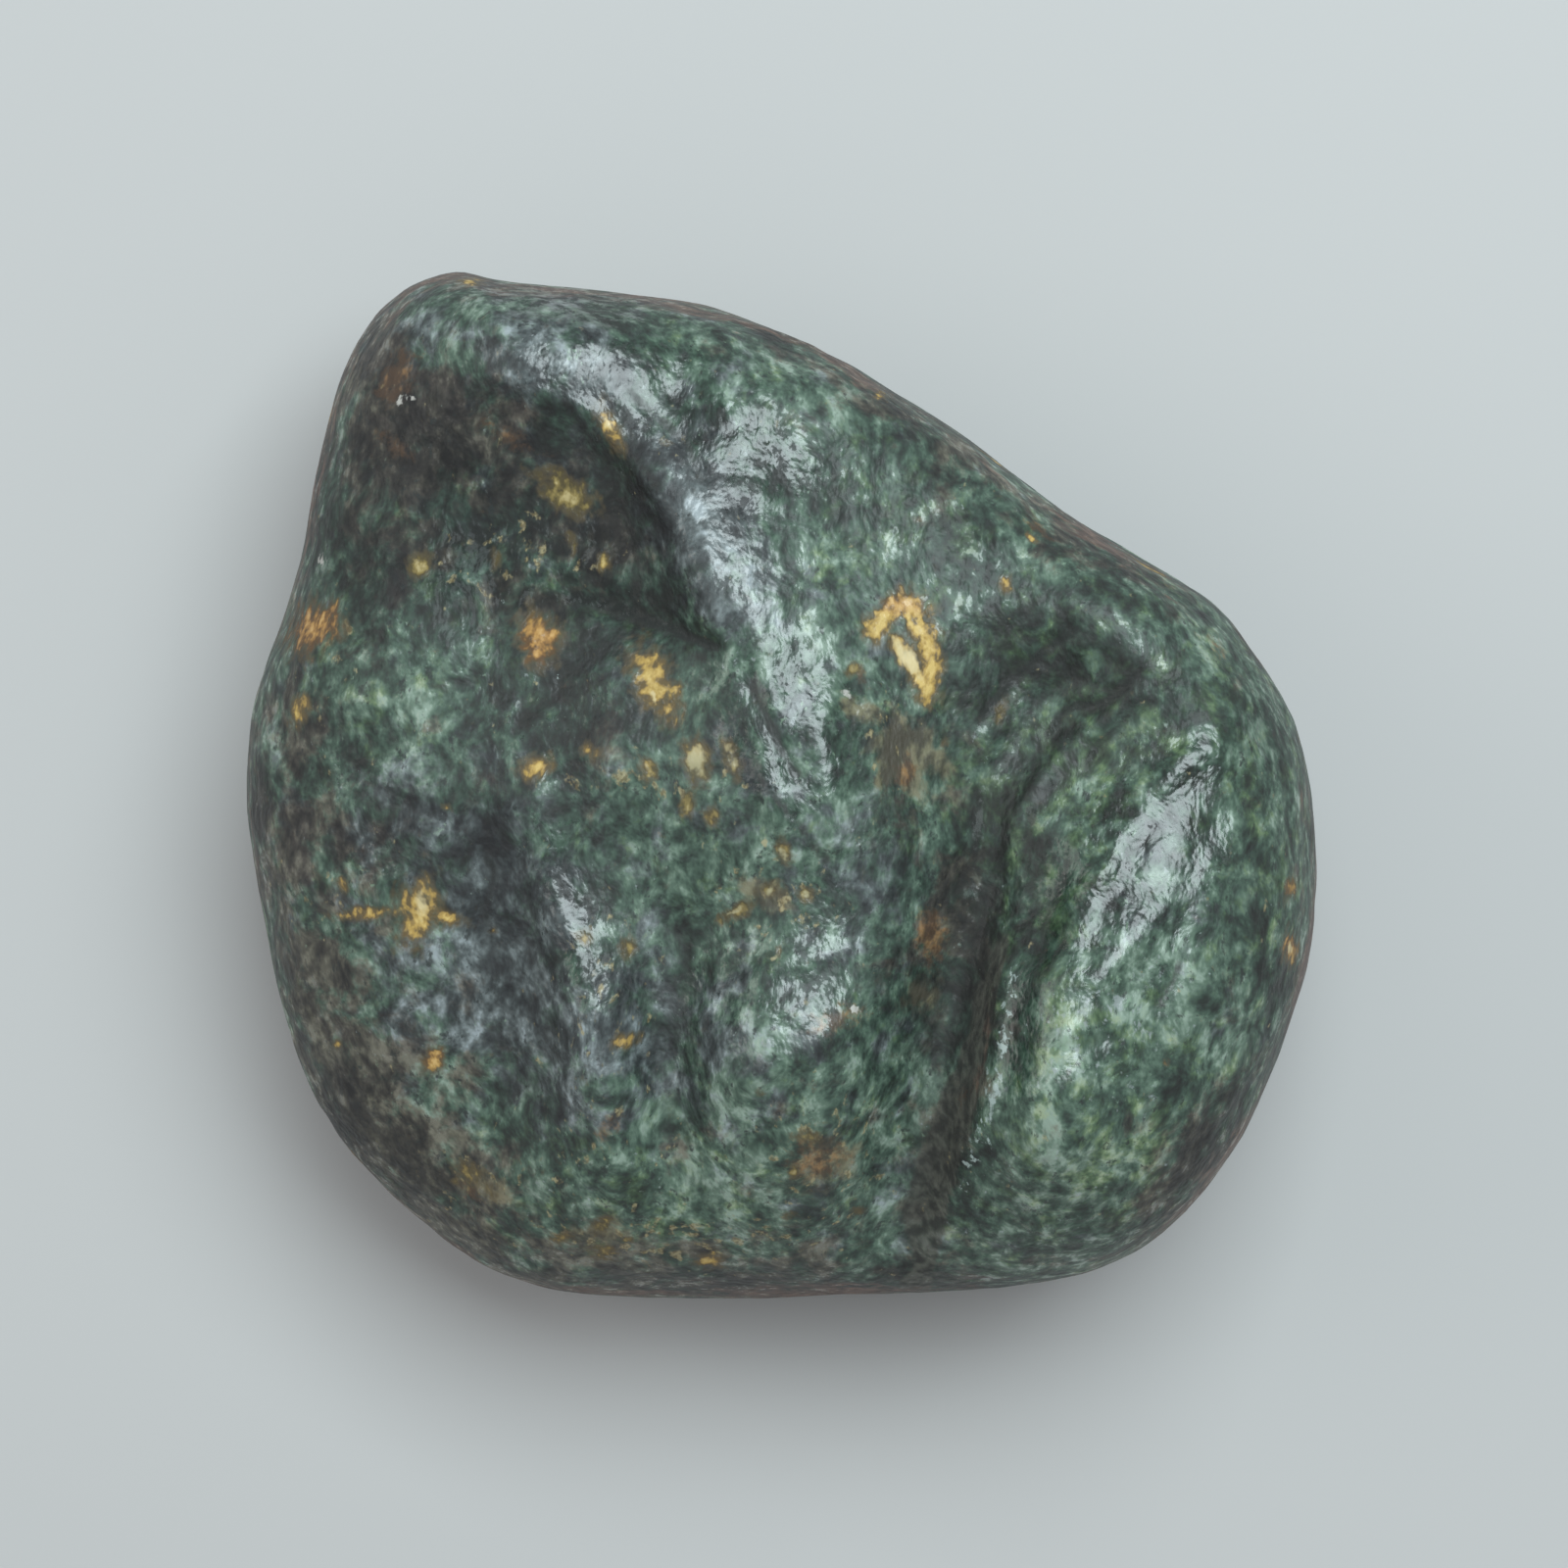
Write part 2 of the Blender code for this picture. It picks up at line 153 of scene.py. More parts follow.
def spline(points, closed, n):
    p = [np.asarray(q, float) for q in points]
    if closed:
        p = [p[-1]] + p + p[:2]
    else:
        p = [2 * p[0] - p[1]] + p + [2 * p[-1] - p[-2]]
    out = []
    for i in range(1, len(p) - 2):
        a, b, c, d = p[i - 1:i + 3]
        for k in range(n):
            f = k / n
            out.append(0.5 * (2 * b + (c - a) * f
                              + (2 * a - 5 * b + 4 * c - d) * f * f
                              + (3 * b - a - 3 * c + d) * f ** 3))
    if not closed:
        out.append(p[-2])
    return np.array(out)


def outline_radius(theta):
    c = spline([plan(u, v) for u, v in OUTLINE], True, 8)
    ang = np.arctan2(c[:, 1], c[:, 0]) % (2 * math.pi)
    rad = np.hypot(c[:, 0], c[:, 1])
    order = np.argsort(ang)
    ang, rad = ang[order], rad[order]
    ang = np.concatenate([ang - 2 * math.pi, ang, ang + 2 * math.pi])
    rad = np.concatenate([rad, rad, rad])
    return np.interp(theta % (2 * math.pi), ang, rad)


def signed(x, y, line):
    """Distance to a line in mm, positive on the right hand of its travel."""
    q = spline([plan(u, v) for u, v in line], False, 5)
    a = q[0] + (q[0] - q[1]) / np.hypot(*(q[0] - q[1])) * 60.0
    b = q[-1] + (q[-1] - q[-2]) / np.hypot(*(q[-1] - q[-2])) * 60.0
    q = np.vstack([a, q, b])
    best = np.full(x.shape, 1e9)
    out = np.zeros(x.shape)
    for p0, p1 in zip(q[:-1], q[1:]):
        length = math.hypot(*(p1 - p0))
        tx, ty = (p1 - p0) / length
        s = np.clip((x - p0[0]) * tx + (y - p0[1]) * ty, 0.0, length)
        ex, ey = x - p0[0] - s * tx, y - p0[1] - s * ty
        dist = np.hypot(ex, ey)
        near = dist < best
        best = np.where(near, dist, best)
        out = np.where(near, np.where(ty * ex - tx * ey > 0, dist, -dist), out)
    return out


def fall(t):
    """Step profile: a crisp brow, then an easing slope, 0 to 1."""
    return 1.0 - np.exp(-2.2 * np.maximum(t, 0.0) ** 1.35)


def blob(x, y, centre, half, turn, power):
    cx, cy = plan(*centre)
    a = math.radians(turn)
    dx, dy = x - cx, y - cy
    lx = (dx * math.cos(a) + dy * math.sin(a)) / (half[0] * GRID)
    ly = (-dx * math.sin(a) + dy * math.cos(a)) / (half[1] * GRID)
    return np.exp(-(lx * lx + ly * ly) ** (power / 2.0))


def steps(x, y):
    """Height in mm of the ridge steps and small swells of the upper face."""
    z = np.zeros(x.shape)
    for line, drop, wide, centre, half, turn, power in WALLS:
        d = signed(x, y, line)                 # walked down: + is to the left
        z -= drop * fall((d + 0.6) / wide) * blob(x, y, centre, half, turn, power)
    depth, wide, centre, half, turn, power = CREASE_CUT
    d = signed(x, y, CREASE)
    z -= depth * np.exp(-np.sqrt(d * d + 0.6) / wide) * blob(x, y, centre, half, turn, power)
    for height, centre, half, turn, power in SWELLS:
        z += height * blob(x, y, centre, half, turn, power)
    return z


def dive(rho):
    """Share of the height left at a share rho of the way to the rim."""
    return (1.0 - np.clip(rho, 0.0, 1.0) ** RIM_POWER) ** (1.0 / RIM_POWER)


def plate_kernel(r2):
    return np.where(r2 > 0.0, r2 * np.log(np.maximum(r2, 1e-12)), 0.0)


def crown(x, y):
    """Thin plate through the set heights, in mm."""
    at = np.array([plan(u, v) for u, v, _ in CROWN])
    px, py = at[:, 0], at[:, 1]
    rho = np.hypot(px, py) / outline_radius(np.arctan2(py, px))
    want = (np.array([c[2] for c in CROWN]) - steps(px, py)) / dive(rho)
    n = len(at)
    m = np.zeros((n + 3, n + 3))
    m[:n, :n] = plate_kernel((px[:, None] - px) ** 2 + (py[:, None] - py) ** 2)
    m[:n, :n] += np.eye(n) * STIFFNESS
    m[:n, n:] = np.stack([np.ones(n), px, py], axis=1)
    m[n:, :n] = m[:n, n:].T
    w = np.linalg.solve(m, np.concatenate([want, np.zeros(3)]))
    z = w[n] + w[n + 1] * x + w[n + 2] * y
    for k in range(n):
        z = z + w[k] * plate_kernel((x - px[k]) ** 2 + (y - py[k]) ** 2)
    return z


def lattice_noise(p, seed):
    rng = np.random.RandomState(seed)
    table = rng.permutation(256)
    table = np.concatenate([table, table])
    grads = rng.normal(size=(256, 3))
    grads /= np.linalg.norm(grads, axis=1)[:, None]
    cell = np.floor(p).astype(int)
    f = p - cell
    w = f ** 3 * (f * (f * 6.0 - 15.0) + 10.0)
    cell = cell & 255
    total = np.zeros(len(p))
    for i in (0, 1):
        for j in (0, 1):
            for k in (0, 1):
                h = table[(table[(table[(cell[:, 0] + i) & 255] + cell[:, 1] + j) & 255]
                           + cell[:, 2] + k) & 255]
                g = grads[h]
                d = f - np.array([i, j, k])
                ww = ((w[:, 0] if i else 1 - w[:, 0])
                      * (w[:, 1] if j else 1 - w[:, 1])
                      * (w[:, 2] if k else 1 - w[:, 2]))
                total += ww * np.sum(g * d, axis=1)
    return total * 1.5


def stone(directions):
    d = directions / np.linalg.norm(directions, axis=1)[:, None]
    theta = np.arctan2(d[:, 1], d[:, 0])
    psi = np.arccos(np.clip(d[:, 2], -1.0, 1.0))
    psi = psi - CROWN_BIAS * np.sin(psi)
    up = np.cos(psi) >= 0.0
    power = np.where(up, RIM_POWER, DROP_POWER + sum(
        a * np.sin(n * theta + ph) for n, a, ph in POWER_WAVE) * np.sin(psi))
    s, c = np.sin(psi), np.abs(np.cos(psi))
    t = (s ** power + c ** power) ** (-1.0 / power)
    rho, zeta = t * s, t * c
    radius = outline_radius(theta)
    wave = sum(a * np.sin(n * theta + ph) for n, a, ph in GIRTH_WAVE)

    # Upper face: the plate and the steps; both halves spread with height.
    lx = radius * rho * np.cos(theta)
    ly = radius * rho * np.sin(theta)
    above = (wave * rho ** 4 + crown(lx, ly) * zeta
             + steps(lx, ly) * smooth((1.0 - rho) / STEP_FADE))
    z = GIRTH_Z + np.where(up, above, wave * rho - DROP * zeta)
    k = VIEW_HEIGHT - np.where(up, z, GIRTH_Z + wave)
    k = k / (VIEW_HEIGHT - GIRTH_Z)
    p = np.stack([lx * k, ly * k, z], axis=1)

    out = np.stack([rho * np.cos(theta) / radius * 75.0,
                    rho * np.sin(theta) / radius * 75.0,
                    np.where(up, 1.0, -1.0) * zeta * 1.4], axis=1)
    out /= np.linalg.norm(out, axis=1)[:, None]
    push = np.zeros(len(p))
    for depth, az, el, spread in FLANKS:
        a, e = math.radians(az), math.radians(el)
        v = np.array([math.cos(a) * math.cos(e), math.sin(a) * math.cos(e), math.sin(e)])
        angle = np.degrees(np.arccos(np.clip(out @ v, -1.0, 1.0)))
        push += depth * np.exp(-(angle / spread) ** 2)
    wander = WANDER * (lattice_noise(p / WANDER_SIZE + 11.3, SEED)
                       + 0.45 * lattice_noise(p / (WANDER_SIZE * 0.45) + 3.7, SEED + 1))
    calm = 1.0 - 0.75 * np.exp(-((psi - math.pi / 2) / 0.22) ** 2)
    still = np.where(up, 0.25 + 0.75 * rho ** 6, 1.0)
    p += out * ((push * ~up + wander * still) * calm)[:, None]
    low = np.clip(p[:, 2] + PATCH_EDGE, 0.0, 2.0 * PATCH_EDGE)
    p[:, 2] = np.where(p[:, 2] < PATCH_EDGE, low ** 2 / (4.0 * PATCH_EDGE), p[:, 2])
    k = (VIEW_HEIGHT - GIRTH_Z) / (VIEW_HEIGHT - p[:, 2])
    return p, dict(theta=theta, psi=psi, rho=rho, up=up, x=p[:, 0] * k, y=p[:, 1] * k)


# ------------------------------------------------------------- fine mesh
def cube_sphere(n):
    """Vertices (on a cube, -1..1) and quads of an n x n cell cube."""
    index = {}
    verts, quads = [], []
    axes = [(0, 1, 2, n), (0, 1, 2, 0), (1, 2, 0, n), (1, 2, 0, 0), (2, 0, 1, n), (2, 0, 1, 0)]
    grids = []
    for a, b, c, level in axes:
        i, j = np.meshgrid(np.arange(n + 1), np.arange(n + 1), indexing="ij")
        q = np.zeros((n + 1, n + 1, 3), int)
        q[..., a], q[..., b], q[..., c] = i, j, level
        grids.append((q, level == n))
    every = np.concatenate([q.reshape(-1, 3) for q, _ in grids])
    key = (every[:, 0] * (n + 1) + every[:, 1]) * (n + 1) + every[:, 2]
    _, first, inverse = np.unique(key, return_index=True, return_inverse=True)
    verts = every[first] * (2.0 / n) - 1.0
    inverse = inverse.reshape(len(grids), n + 1, n + 1)
    for g, (_, outward) in zip(inverse, grids):
        quad = np.stack([g[:-1, :-1], g[1:, :-1], g[1:, 1:], g[:-1, 1:]], axis=-1).reshape(-1, 4)
        quads.append(quad if outward else quad[:, ::-1])
    return verts, np.concatenate(quads)


def vertex_normals(p, quads):
    a = p[quads[:, 2]] - p[quads[:, 0]]
    b = p[quads[:, 3]] - p[quads[:, 1]]
    fn = np.cross(a, b)
    n = np.zeros_like(p)
    for c in range(3):
        for k in range(4):
            n[:, c] += np.bincount(quads[:, k], weights=fn[:, c], minlength=len(p))
    return n / np.maximum(np.linalg.norm(n, axis=1), 1e-12)[:, None]


def edges_of(quads):
    e = np.concatenate([quads[:, [0, 1]], quads[:, [1, 2]], quads[:, [2, 3]], quads[:, [3, 0]]])
    e = np.sort(e, axis=1)
    return np.unique(e, axis=0)


def relaxed(values, edges, rounds):
    """Neighbour averaging of per-vertex values."""
    v = values.astype(float).copy()
    if v.ndim == 1:
        v = v[:, None]
    count = np.bincount(edges.ravel(), minlength=len(v)).astype(float)
    for _ in range(rounds):
        s = np.empty_like(v)
        for c in range(v.shape[1]):
            s[:, c] = (np.bincount(edges[:, 0], weights=v[edges[:, 1], c], minlength=len(v))
                       + np.bincount(edges[:, 1], weights=v[edges[:, 0], c], minlength=len(v)))
        v = 0.35 * v + 0.65 * s / count[:, None]
    return v if values.ndim > 1 else v[:, 0]


# ------------------------------------------------------------- fine relief
# Low crests and furrows: line, height mm, half-width mm, then an oval mask.
CRESTS = [
    ([(1128, 948), (1100, 992), (1080, 1040), (1073, 1085), (1086, 1135)], 1.2, 6.0,
     (1105, 1040), (100, 140), -20, 3.0),
    ([(1085, 1000), (1118, 990), (1150, 962), (1178, 930)], 0.55, 2.6, (1132, 972), (80, 60), 25, 3.0),
    ([(1068, 1062), (1100, 1046), (1142, 1036)], 0.5, 2.2, (1105, 1046), (60, 40), 10, 3.0),
    ([(1052, 1122), (1085, 1112), (1112, 1086), (1150, 1070)], 0.55, 2.4, (1100, 1098), (75, 55), 20, 3.0),
    ([(1110, 912), (1132, 888), (1168, 876)], 0.45, 2.2, (1138, 890), (60, 40), 20, 3.0),
    ([(752, 770), (775, 795), (800, 828), (826, 858), (845, 880)], 0.6, 1.8, (798, 825), (75, 75), 0, 3.0),
    ([(1154, 681), (1122, 708), (1086, 713), (1065, 739), (1049, 757)], 0.5, 1.6, (1100, 720), (80, 70), 0, 3.0),
    ([(1149, 713), (1133, 734), (1112, 755), (1101, 781)], 0.45, 1.5, (1125, 745), (60, 60), 0, 3.0),
    ([(1075, 786), (1049, 817), (1039, 849)], 0.45, 1.6, (1055, 815), (50, 60), 0, 3.0),
    ([(1269, 734), (1237, 765), (1206, 781), (1180, 800), (1150, 812), (1133, 833)], 0.5, 1.8,
     (1200, 785), (110, 80), 0, 3.0),
    ([(664, 430), (688, 485), (712, 540), (736, 592), (758, 645)], 0.9, 5.0,
     (712, 540), (80, 150), 22, 3.0),
    ([(548, 830), (556, 880), (566, 940), (574, 1000), (584, 1060), (592, 1110)], 0.8, 2.2,
     (570, 970), (60, 150), 8, 3.0),
    ([(1034, 960), (1026, 1020), (1020, 1080), (1010, 1130)], 0.7, 1.7, (1022, 1060), (40, 90), -10, 3.0),
    ([(735, 985), (725, 1030), (715, 1080)], 0.5, 1.7, (725, 1035), (40, 70), -10, 3.0),
    ([(700, 1130), (760, 1100), (820, 1075), (870, 1040)], 0.6, 2.2, (785, 1090), (110, 60), 20, 3.0),
    ([(745, 1010), (800, 985), (850, 975)], 0.5, 1.8, (800, 990), (80, 40), 15, 3.0),
    ([(850, 690), (838, 740), (846, 790), (856, 840)], 0.6, 2.2, (848, 760), (40, 110), 0, 3.0),
    ([(780, 690), (790, 740), (786, 790), (800, 850)], 0.5, 1.9, (790, 770), (40, 110), 0, 3.0),
    ([(640, 460), (660, 480), (690, 520)], 0.4, 1.6, (660, 485), (50, 50), 0, 3.0),
    ([(1240, 740), (1190, 800), (1150, 850), (1120, 900)], 0.5, 2.0, (1180, 820), (110, 110), 0, 3.0),
    ([(1215, 900), (1160, 960), (1120, 1010), (1090, 1070)], 0.6, 2.2, (1150, 980), (110, 130), 0, 3.0),
    ([(1250, 830), (1215, 890), (1195, 960)], -0.5, 2.0, (1220, 890), (80, 110), 0, 3.0),
    ([(1150, 880), (1125, 930), (1105, 990)], -0.5, 1.8, (1128, 930), (70, 110), 0, 3.0),
    ([(960, 640), (985, 690), (1010, 740), (1020, 790)], 0.5, 2.4, (990, 715), (70, 110), 0, 3.0),
    ([(1180, 700), (1120, 740), (1070, 790), (1040, 850)], 0.9, 2.2, (1110, 770), (120, 120), 0, 3.0),
    ([(1100, 690), (1050, 740), (1010, 800), (990, 860)], -0.8, 2.0, (1050, 770), (110, 120), 0, 3.0),
]

# Fine furrows, cut into the mesh and painted dark along their line as shade: line and strength.
FURROWS = [
    ([(584, 608), (620, 617), (660, 632), (700, 648), (730, 660)], 1.0),
    ([(750, 772), (776, 796), (806, 832), (842, 878)], 0.7),
    ([(1098, 642), (1062, 668), (1028, 700), (1000, 736)], 0.7),
    ([(1205, 980), (1196, 1004), (1182, 1026)], 0.6),
    ([(497, 868), (503, 900), (494, 930), (504, 962)], 0.6),
    ([(640, 395), (672, 428), (700, 452), (716, 490)], 0.6),
    ([(600, 1010), (612, 1050), (610, 1100)], 0.5),
    ([(690, 950), (700, 990), (692, 1030)], 0.5),
    ([(836, 1180), (868, 1150), (905, 1140)], 0.5),
    ([(1090, 880), (1070, 930), (1062, 980)], 0.6),
    ([(766, 698), (784, 735), (800, 768), (812, 792)], 0.8),
    ([(1160, 690), (1128, 717), (1092, 722), (1070, 748)], 0.8),
    ([(1156, 722), (1140, 743), (1118, 764), (1108, 790)], 0.7),
    ([(1082, 793), (1056, 824), (1046, 856)], 0.7),
    ([(345, 520), (372, 560), (380, 610)], 0.5),
]


def near(x, y, line):
    """Distance in mm to the drawn stretch of a line."""
    q = spline([plan(u, v) for u, v in line], False, 6)
    best = np.full(x.shape, 1e9)
    for p0, p1 in zip(q[:-1], q[1:]):
        d = p1 - p0
        s = np.clip(((x - p0[0]) * d[0] + (y - p0[1]) * d[1]) / (d @ d), 0.0, 1.0)
        best = np.minimum(best, np.hypot(x - p0[0] - s * d[0], y - p0[1] - s * d[1]))
    return best


def furrows(x, y, wide):
    out = np.zeros(x.shape)
    for line, strength in FURROWS:
        out = np.maximum(out, strength * np.exp(-(near(x, y, line) / wide) ** 2))
    return out


def crests(x, y):
    z = np.zeros(x.shape)
    for line, height, wide, centre, half, turn, power in CRESTS:
        d = signed(x, y, line)
        z += height * np.exp(-(d / wide) ** 2) * blob(x, y, centre, half, turn, power)
    return z


# ------------------------------------------------------------- markings
# Ochre spots: centre, half-length, half-width in grid units, turn, strength.
OCHRE = [
    (426, 930, 34, 20, 80, 1.0), (375, 932, 34, 7, 5, 0.8), (458, 937, 20, 8, -15, 0.7),
    (668, 698, 38, 19, 115, 1.0), (655, 676, 16, 10, 150, 0.8),
    (320, 640, 28, 21, 40, 1.0), (330, 628, 12, 9, 0, 0.8),
    (550, 652, 25, 18, 101, 1.0), (543, 637, 10, 7, 30, 0.7),
    (578, 503, 33, 16, 148, 0.85), (596, 515, 12, 6, 130, 0.7),
    (545, 784, 17, 11, 20, 0.9), (305, 726, 18, 9, 77, 0.85), (443, 1084, 15, 11, 60, 0.85),
    (1316, 968, 16, 8, 90, 0.95), (1317, 908, 13, 7, 90, 0.75),
    (622, 436, 25, 10, 110, 0.95), (636, 1063, 14, 9, 32, 0.85),
    (616, 1276, 14, 8, 0, 0.8), (614, 1250, 14, 8, 20, 0.8), (478, 1196, 17, 11, 160, 0.75),
    (500, 1215, 12, 6, 120, 0.5), (466, 1205, 7, 5, 0, 0.5),
    (710, 776, 23, 12, 97, 0.95), (746, 772, 19, 8, 109, 0.95),
    (872, 684, 10, 6, 20, 0.8), (1027, 595, 10, 6, 90, 0.75), (428, 578, 13, 10, 40, 0.85),
    (662, 784, 12, 8, 100, 0.75), (605, 768, 12, 8, 0, 0.75), (703, 820, 14, 8, 80, 0.75),
    (726, 832, 12, 8, 100, 0.75), (506, 568, 11, 7, 90, 0.6), (585, 555, 14, 6, 100, 0.65),
    (615, 572, 12, 6, 95, 0.65), (680, 450, 7, 5, 0, 0.45), (896, 404, 8, 4, 30, 0.75),
    (1052, 548, 8, 4, 140, 0.6), (940, 530, 6, 4, 0, 0.4), (1022, 725, 15, 5, 78, 0.7),
    (963, 757, 6, 4, 90, 0.5), (350, 900, 7, 5, 0, 0.4), (455, 823, 6, 4, 0, 0.4),
    (503, 950, 7, 4, 0, 0.4), (598, 957, 14, 9, 0, 0.7), (640, 968, 9, 13, 0, 0.6),
    (752, 930, 20, 7, 25, 0.75), (787, 908, 13, 9, 0, 0.85), (800, 868, 15, 8, 120, 0.75),
    (822, 912, 11, 8, 0, 0.8), (795, 975, 8, 4, 90, 0.5), (345, 1065, 8, 5, 100, 0.45),
    (575, 1262, 14, 8, 0, 0.7), (722, 1286, 18, 8, 0, 0.7), (825, 1160, 14, 8, 0, 0.7),
    (858, 1185, 7, 4, 0, 0.45), (810, 1195, 9, 5, 90, 0.5), (875, 1235, 8, 5, 0, 0.45),
    (805, 1240, 8, 5, 0, 0.45), (778, 1115, 7, 4, 0, 0.4), (480, 287, 14, 5, 10, 0.7),
    (1190, 1085, 7, 5, 0, 0.35), (352, 905, 8, 5, 90, 0.45), (640, 1265, 8, 5, 0, 0.5),
]
# The hooked spot on the upper right is drawn as two strokes.
HOOK = [([(893, 642), (903, 629), (915, 619), (929, 618), (937, 627)], 15.0),
        ([(928, 620), (939, 635), (947, 654), (950, 676), (946, 707)], 13.0),
        ([(927, 628), (936, 643), (943, 660)], 8.0),
        ([(916, 656), (924, 669), (932, 682), (941, 700)], 8.5)]
PALE_IN = [(927, 673, 25, 9, 124, 1.0), (710, 776, 21, 10, 97, 0.9), (746, 772, 17, 7, 109, 1.0),
           (781, 860, 9, 5, 120, 0.7), (800, 872, 12, 5, 120, 0.7), (787, 908, 12, 6, 60, 0.8), (822, 912, 10, 6, 0, 0.7),
           (749, 930, 16, 4, 25, 0.6), (791, 977, 8, 6, 0, 0.8), (668, 712, 12, 5, 115, 0.6),
           (622, 436, 18, 6, 110, 0.6), (430, 922, 16, 9, 90, 0.9), (1316, 968, 9, 4, 90, 0.7)]
BROWN = [
    (926, 785, 40, 18, 80, 0.7), (950, 955, 48, 26, 95, 1.0),
    (405, 385, 55, 28, 60, 0.9), (520, 445, 90, 20, 150, 0.5), (400, 455, 60, 24, 150, 0.5),
    (850, 1040, 70, 40, 20, 0.45), (835, 1180, 80, 60, 0, 0.45), (620, 1150, 60, 40, 60, 0.3),
    (1240, 660, 40, 22, 140, 0.4), (1060, 540, 60, 18, 145, 0.35), (480, 1215, 40, 22, 130, 0.5),
    (880, 690, 36, 16, 120, 0.4), (985, 1110, 20, 60, -13, 0.2),
]
# Ochre aged to mustard (+) or rusted (-).
AGED = [
    (1.0, 585, 505, 70, 50, 0), (0.8, 470, 560, 150, 60, 0), (0.15, 668, 700, 40, 50, 0), (0.6, 715, 800, 100, 50, 0),
    (0.7, 790, 920, 110, 90, 0), (0.8, 840, 1190, 110, 90, 0), (0.5, 620, 1262, 70, 40, 0),
    (0.5, 480, 1200, 60, 40, 0), (0.6, 872, 684, 20, 20, 0), (0.8, 1020, 740, 60, 60, 0), (0.5, 620, 965, 60, 40, 0),
    (-0.9, 322, 640, 50, 50, 0), (-0.6, 550, 652, 40, 40, 0), (-0.5, 920, 618, 40, 14, 0), (-0.4, 443, 1084, 30, 30, 0),
    (-0.5, 1316, 940, 40, 60, 0),
]
# Sleek places, where the fine relief is worn down.
SLEEK = [
    (0.8, 740, 560, 60, 130, 22), (0.7, 590, 375, 110, 60, -20), (0.6, 1172, 885, 90, 105, -20),
    (0.6, 1112, 1040, 70, 110, -30), (0.5, 808, 740, 60, 90, 10), (0.4, 790, 1040, 90, 72, -20),
]
# Smooth olive-brown stain.
OLIVE = [
    (924, 772, 58, 42, 108, 1.0), (876, 724, 38, 16, 168, 0.8), (963, 757, 14, 12, 0, 0.6),
    (840, 1185, 60, 46, 0, 0.5), (620, 1262, 50, 30, 0, 0.55), (785, 915, 60, 34, -30, 0.45),
    (490, 1205, 46, 26, 150, 0.6), (940, 1010, 30, 60, 0, 0.4),
]
WHITE = [(864, 706, 7, 6, 0, 1.0), (408, 408, 6, 5, 0, 0.9), (328, 572, 7, 5, 60, 0.9),
         (872, 1030, 7, 6, 0, 1.0), (419, 406, 5, 4, 0, 0.8), (760, 862, 5, 4, 0, 0.7)]
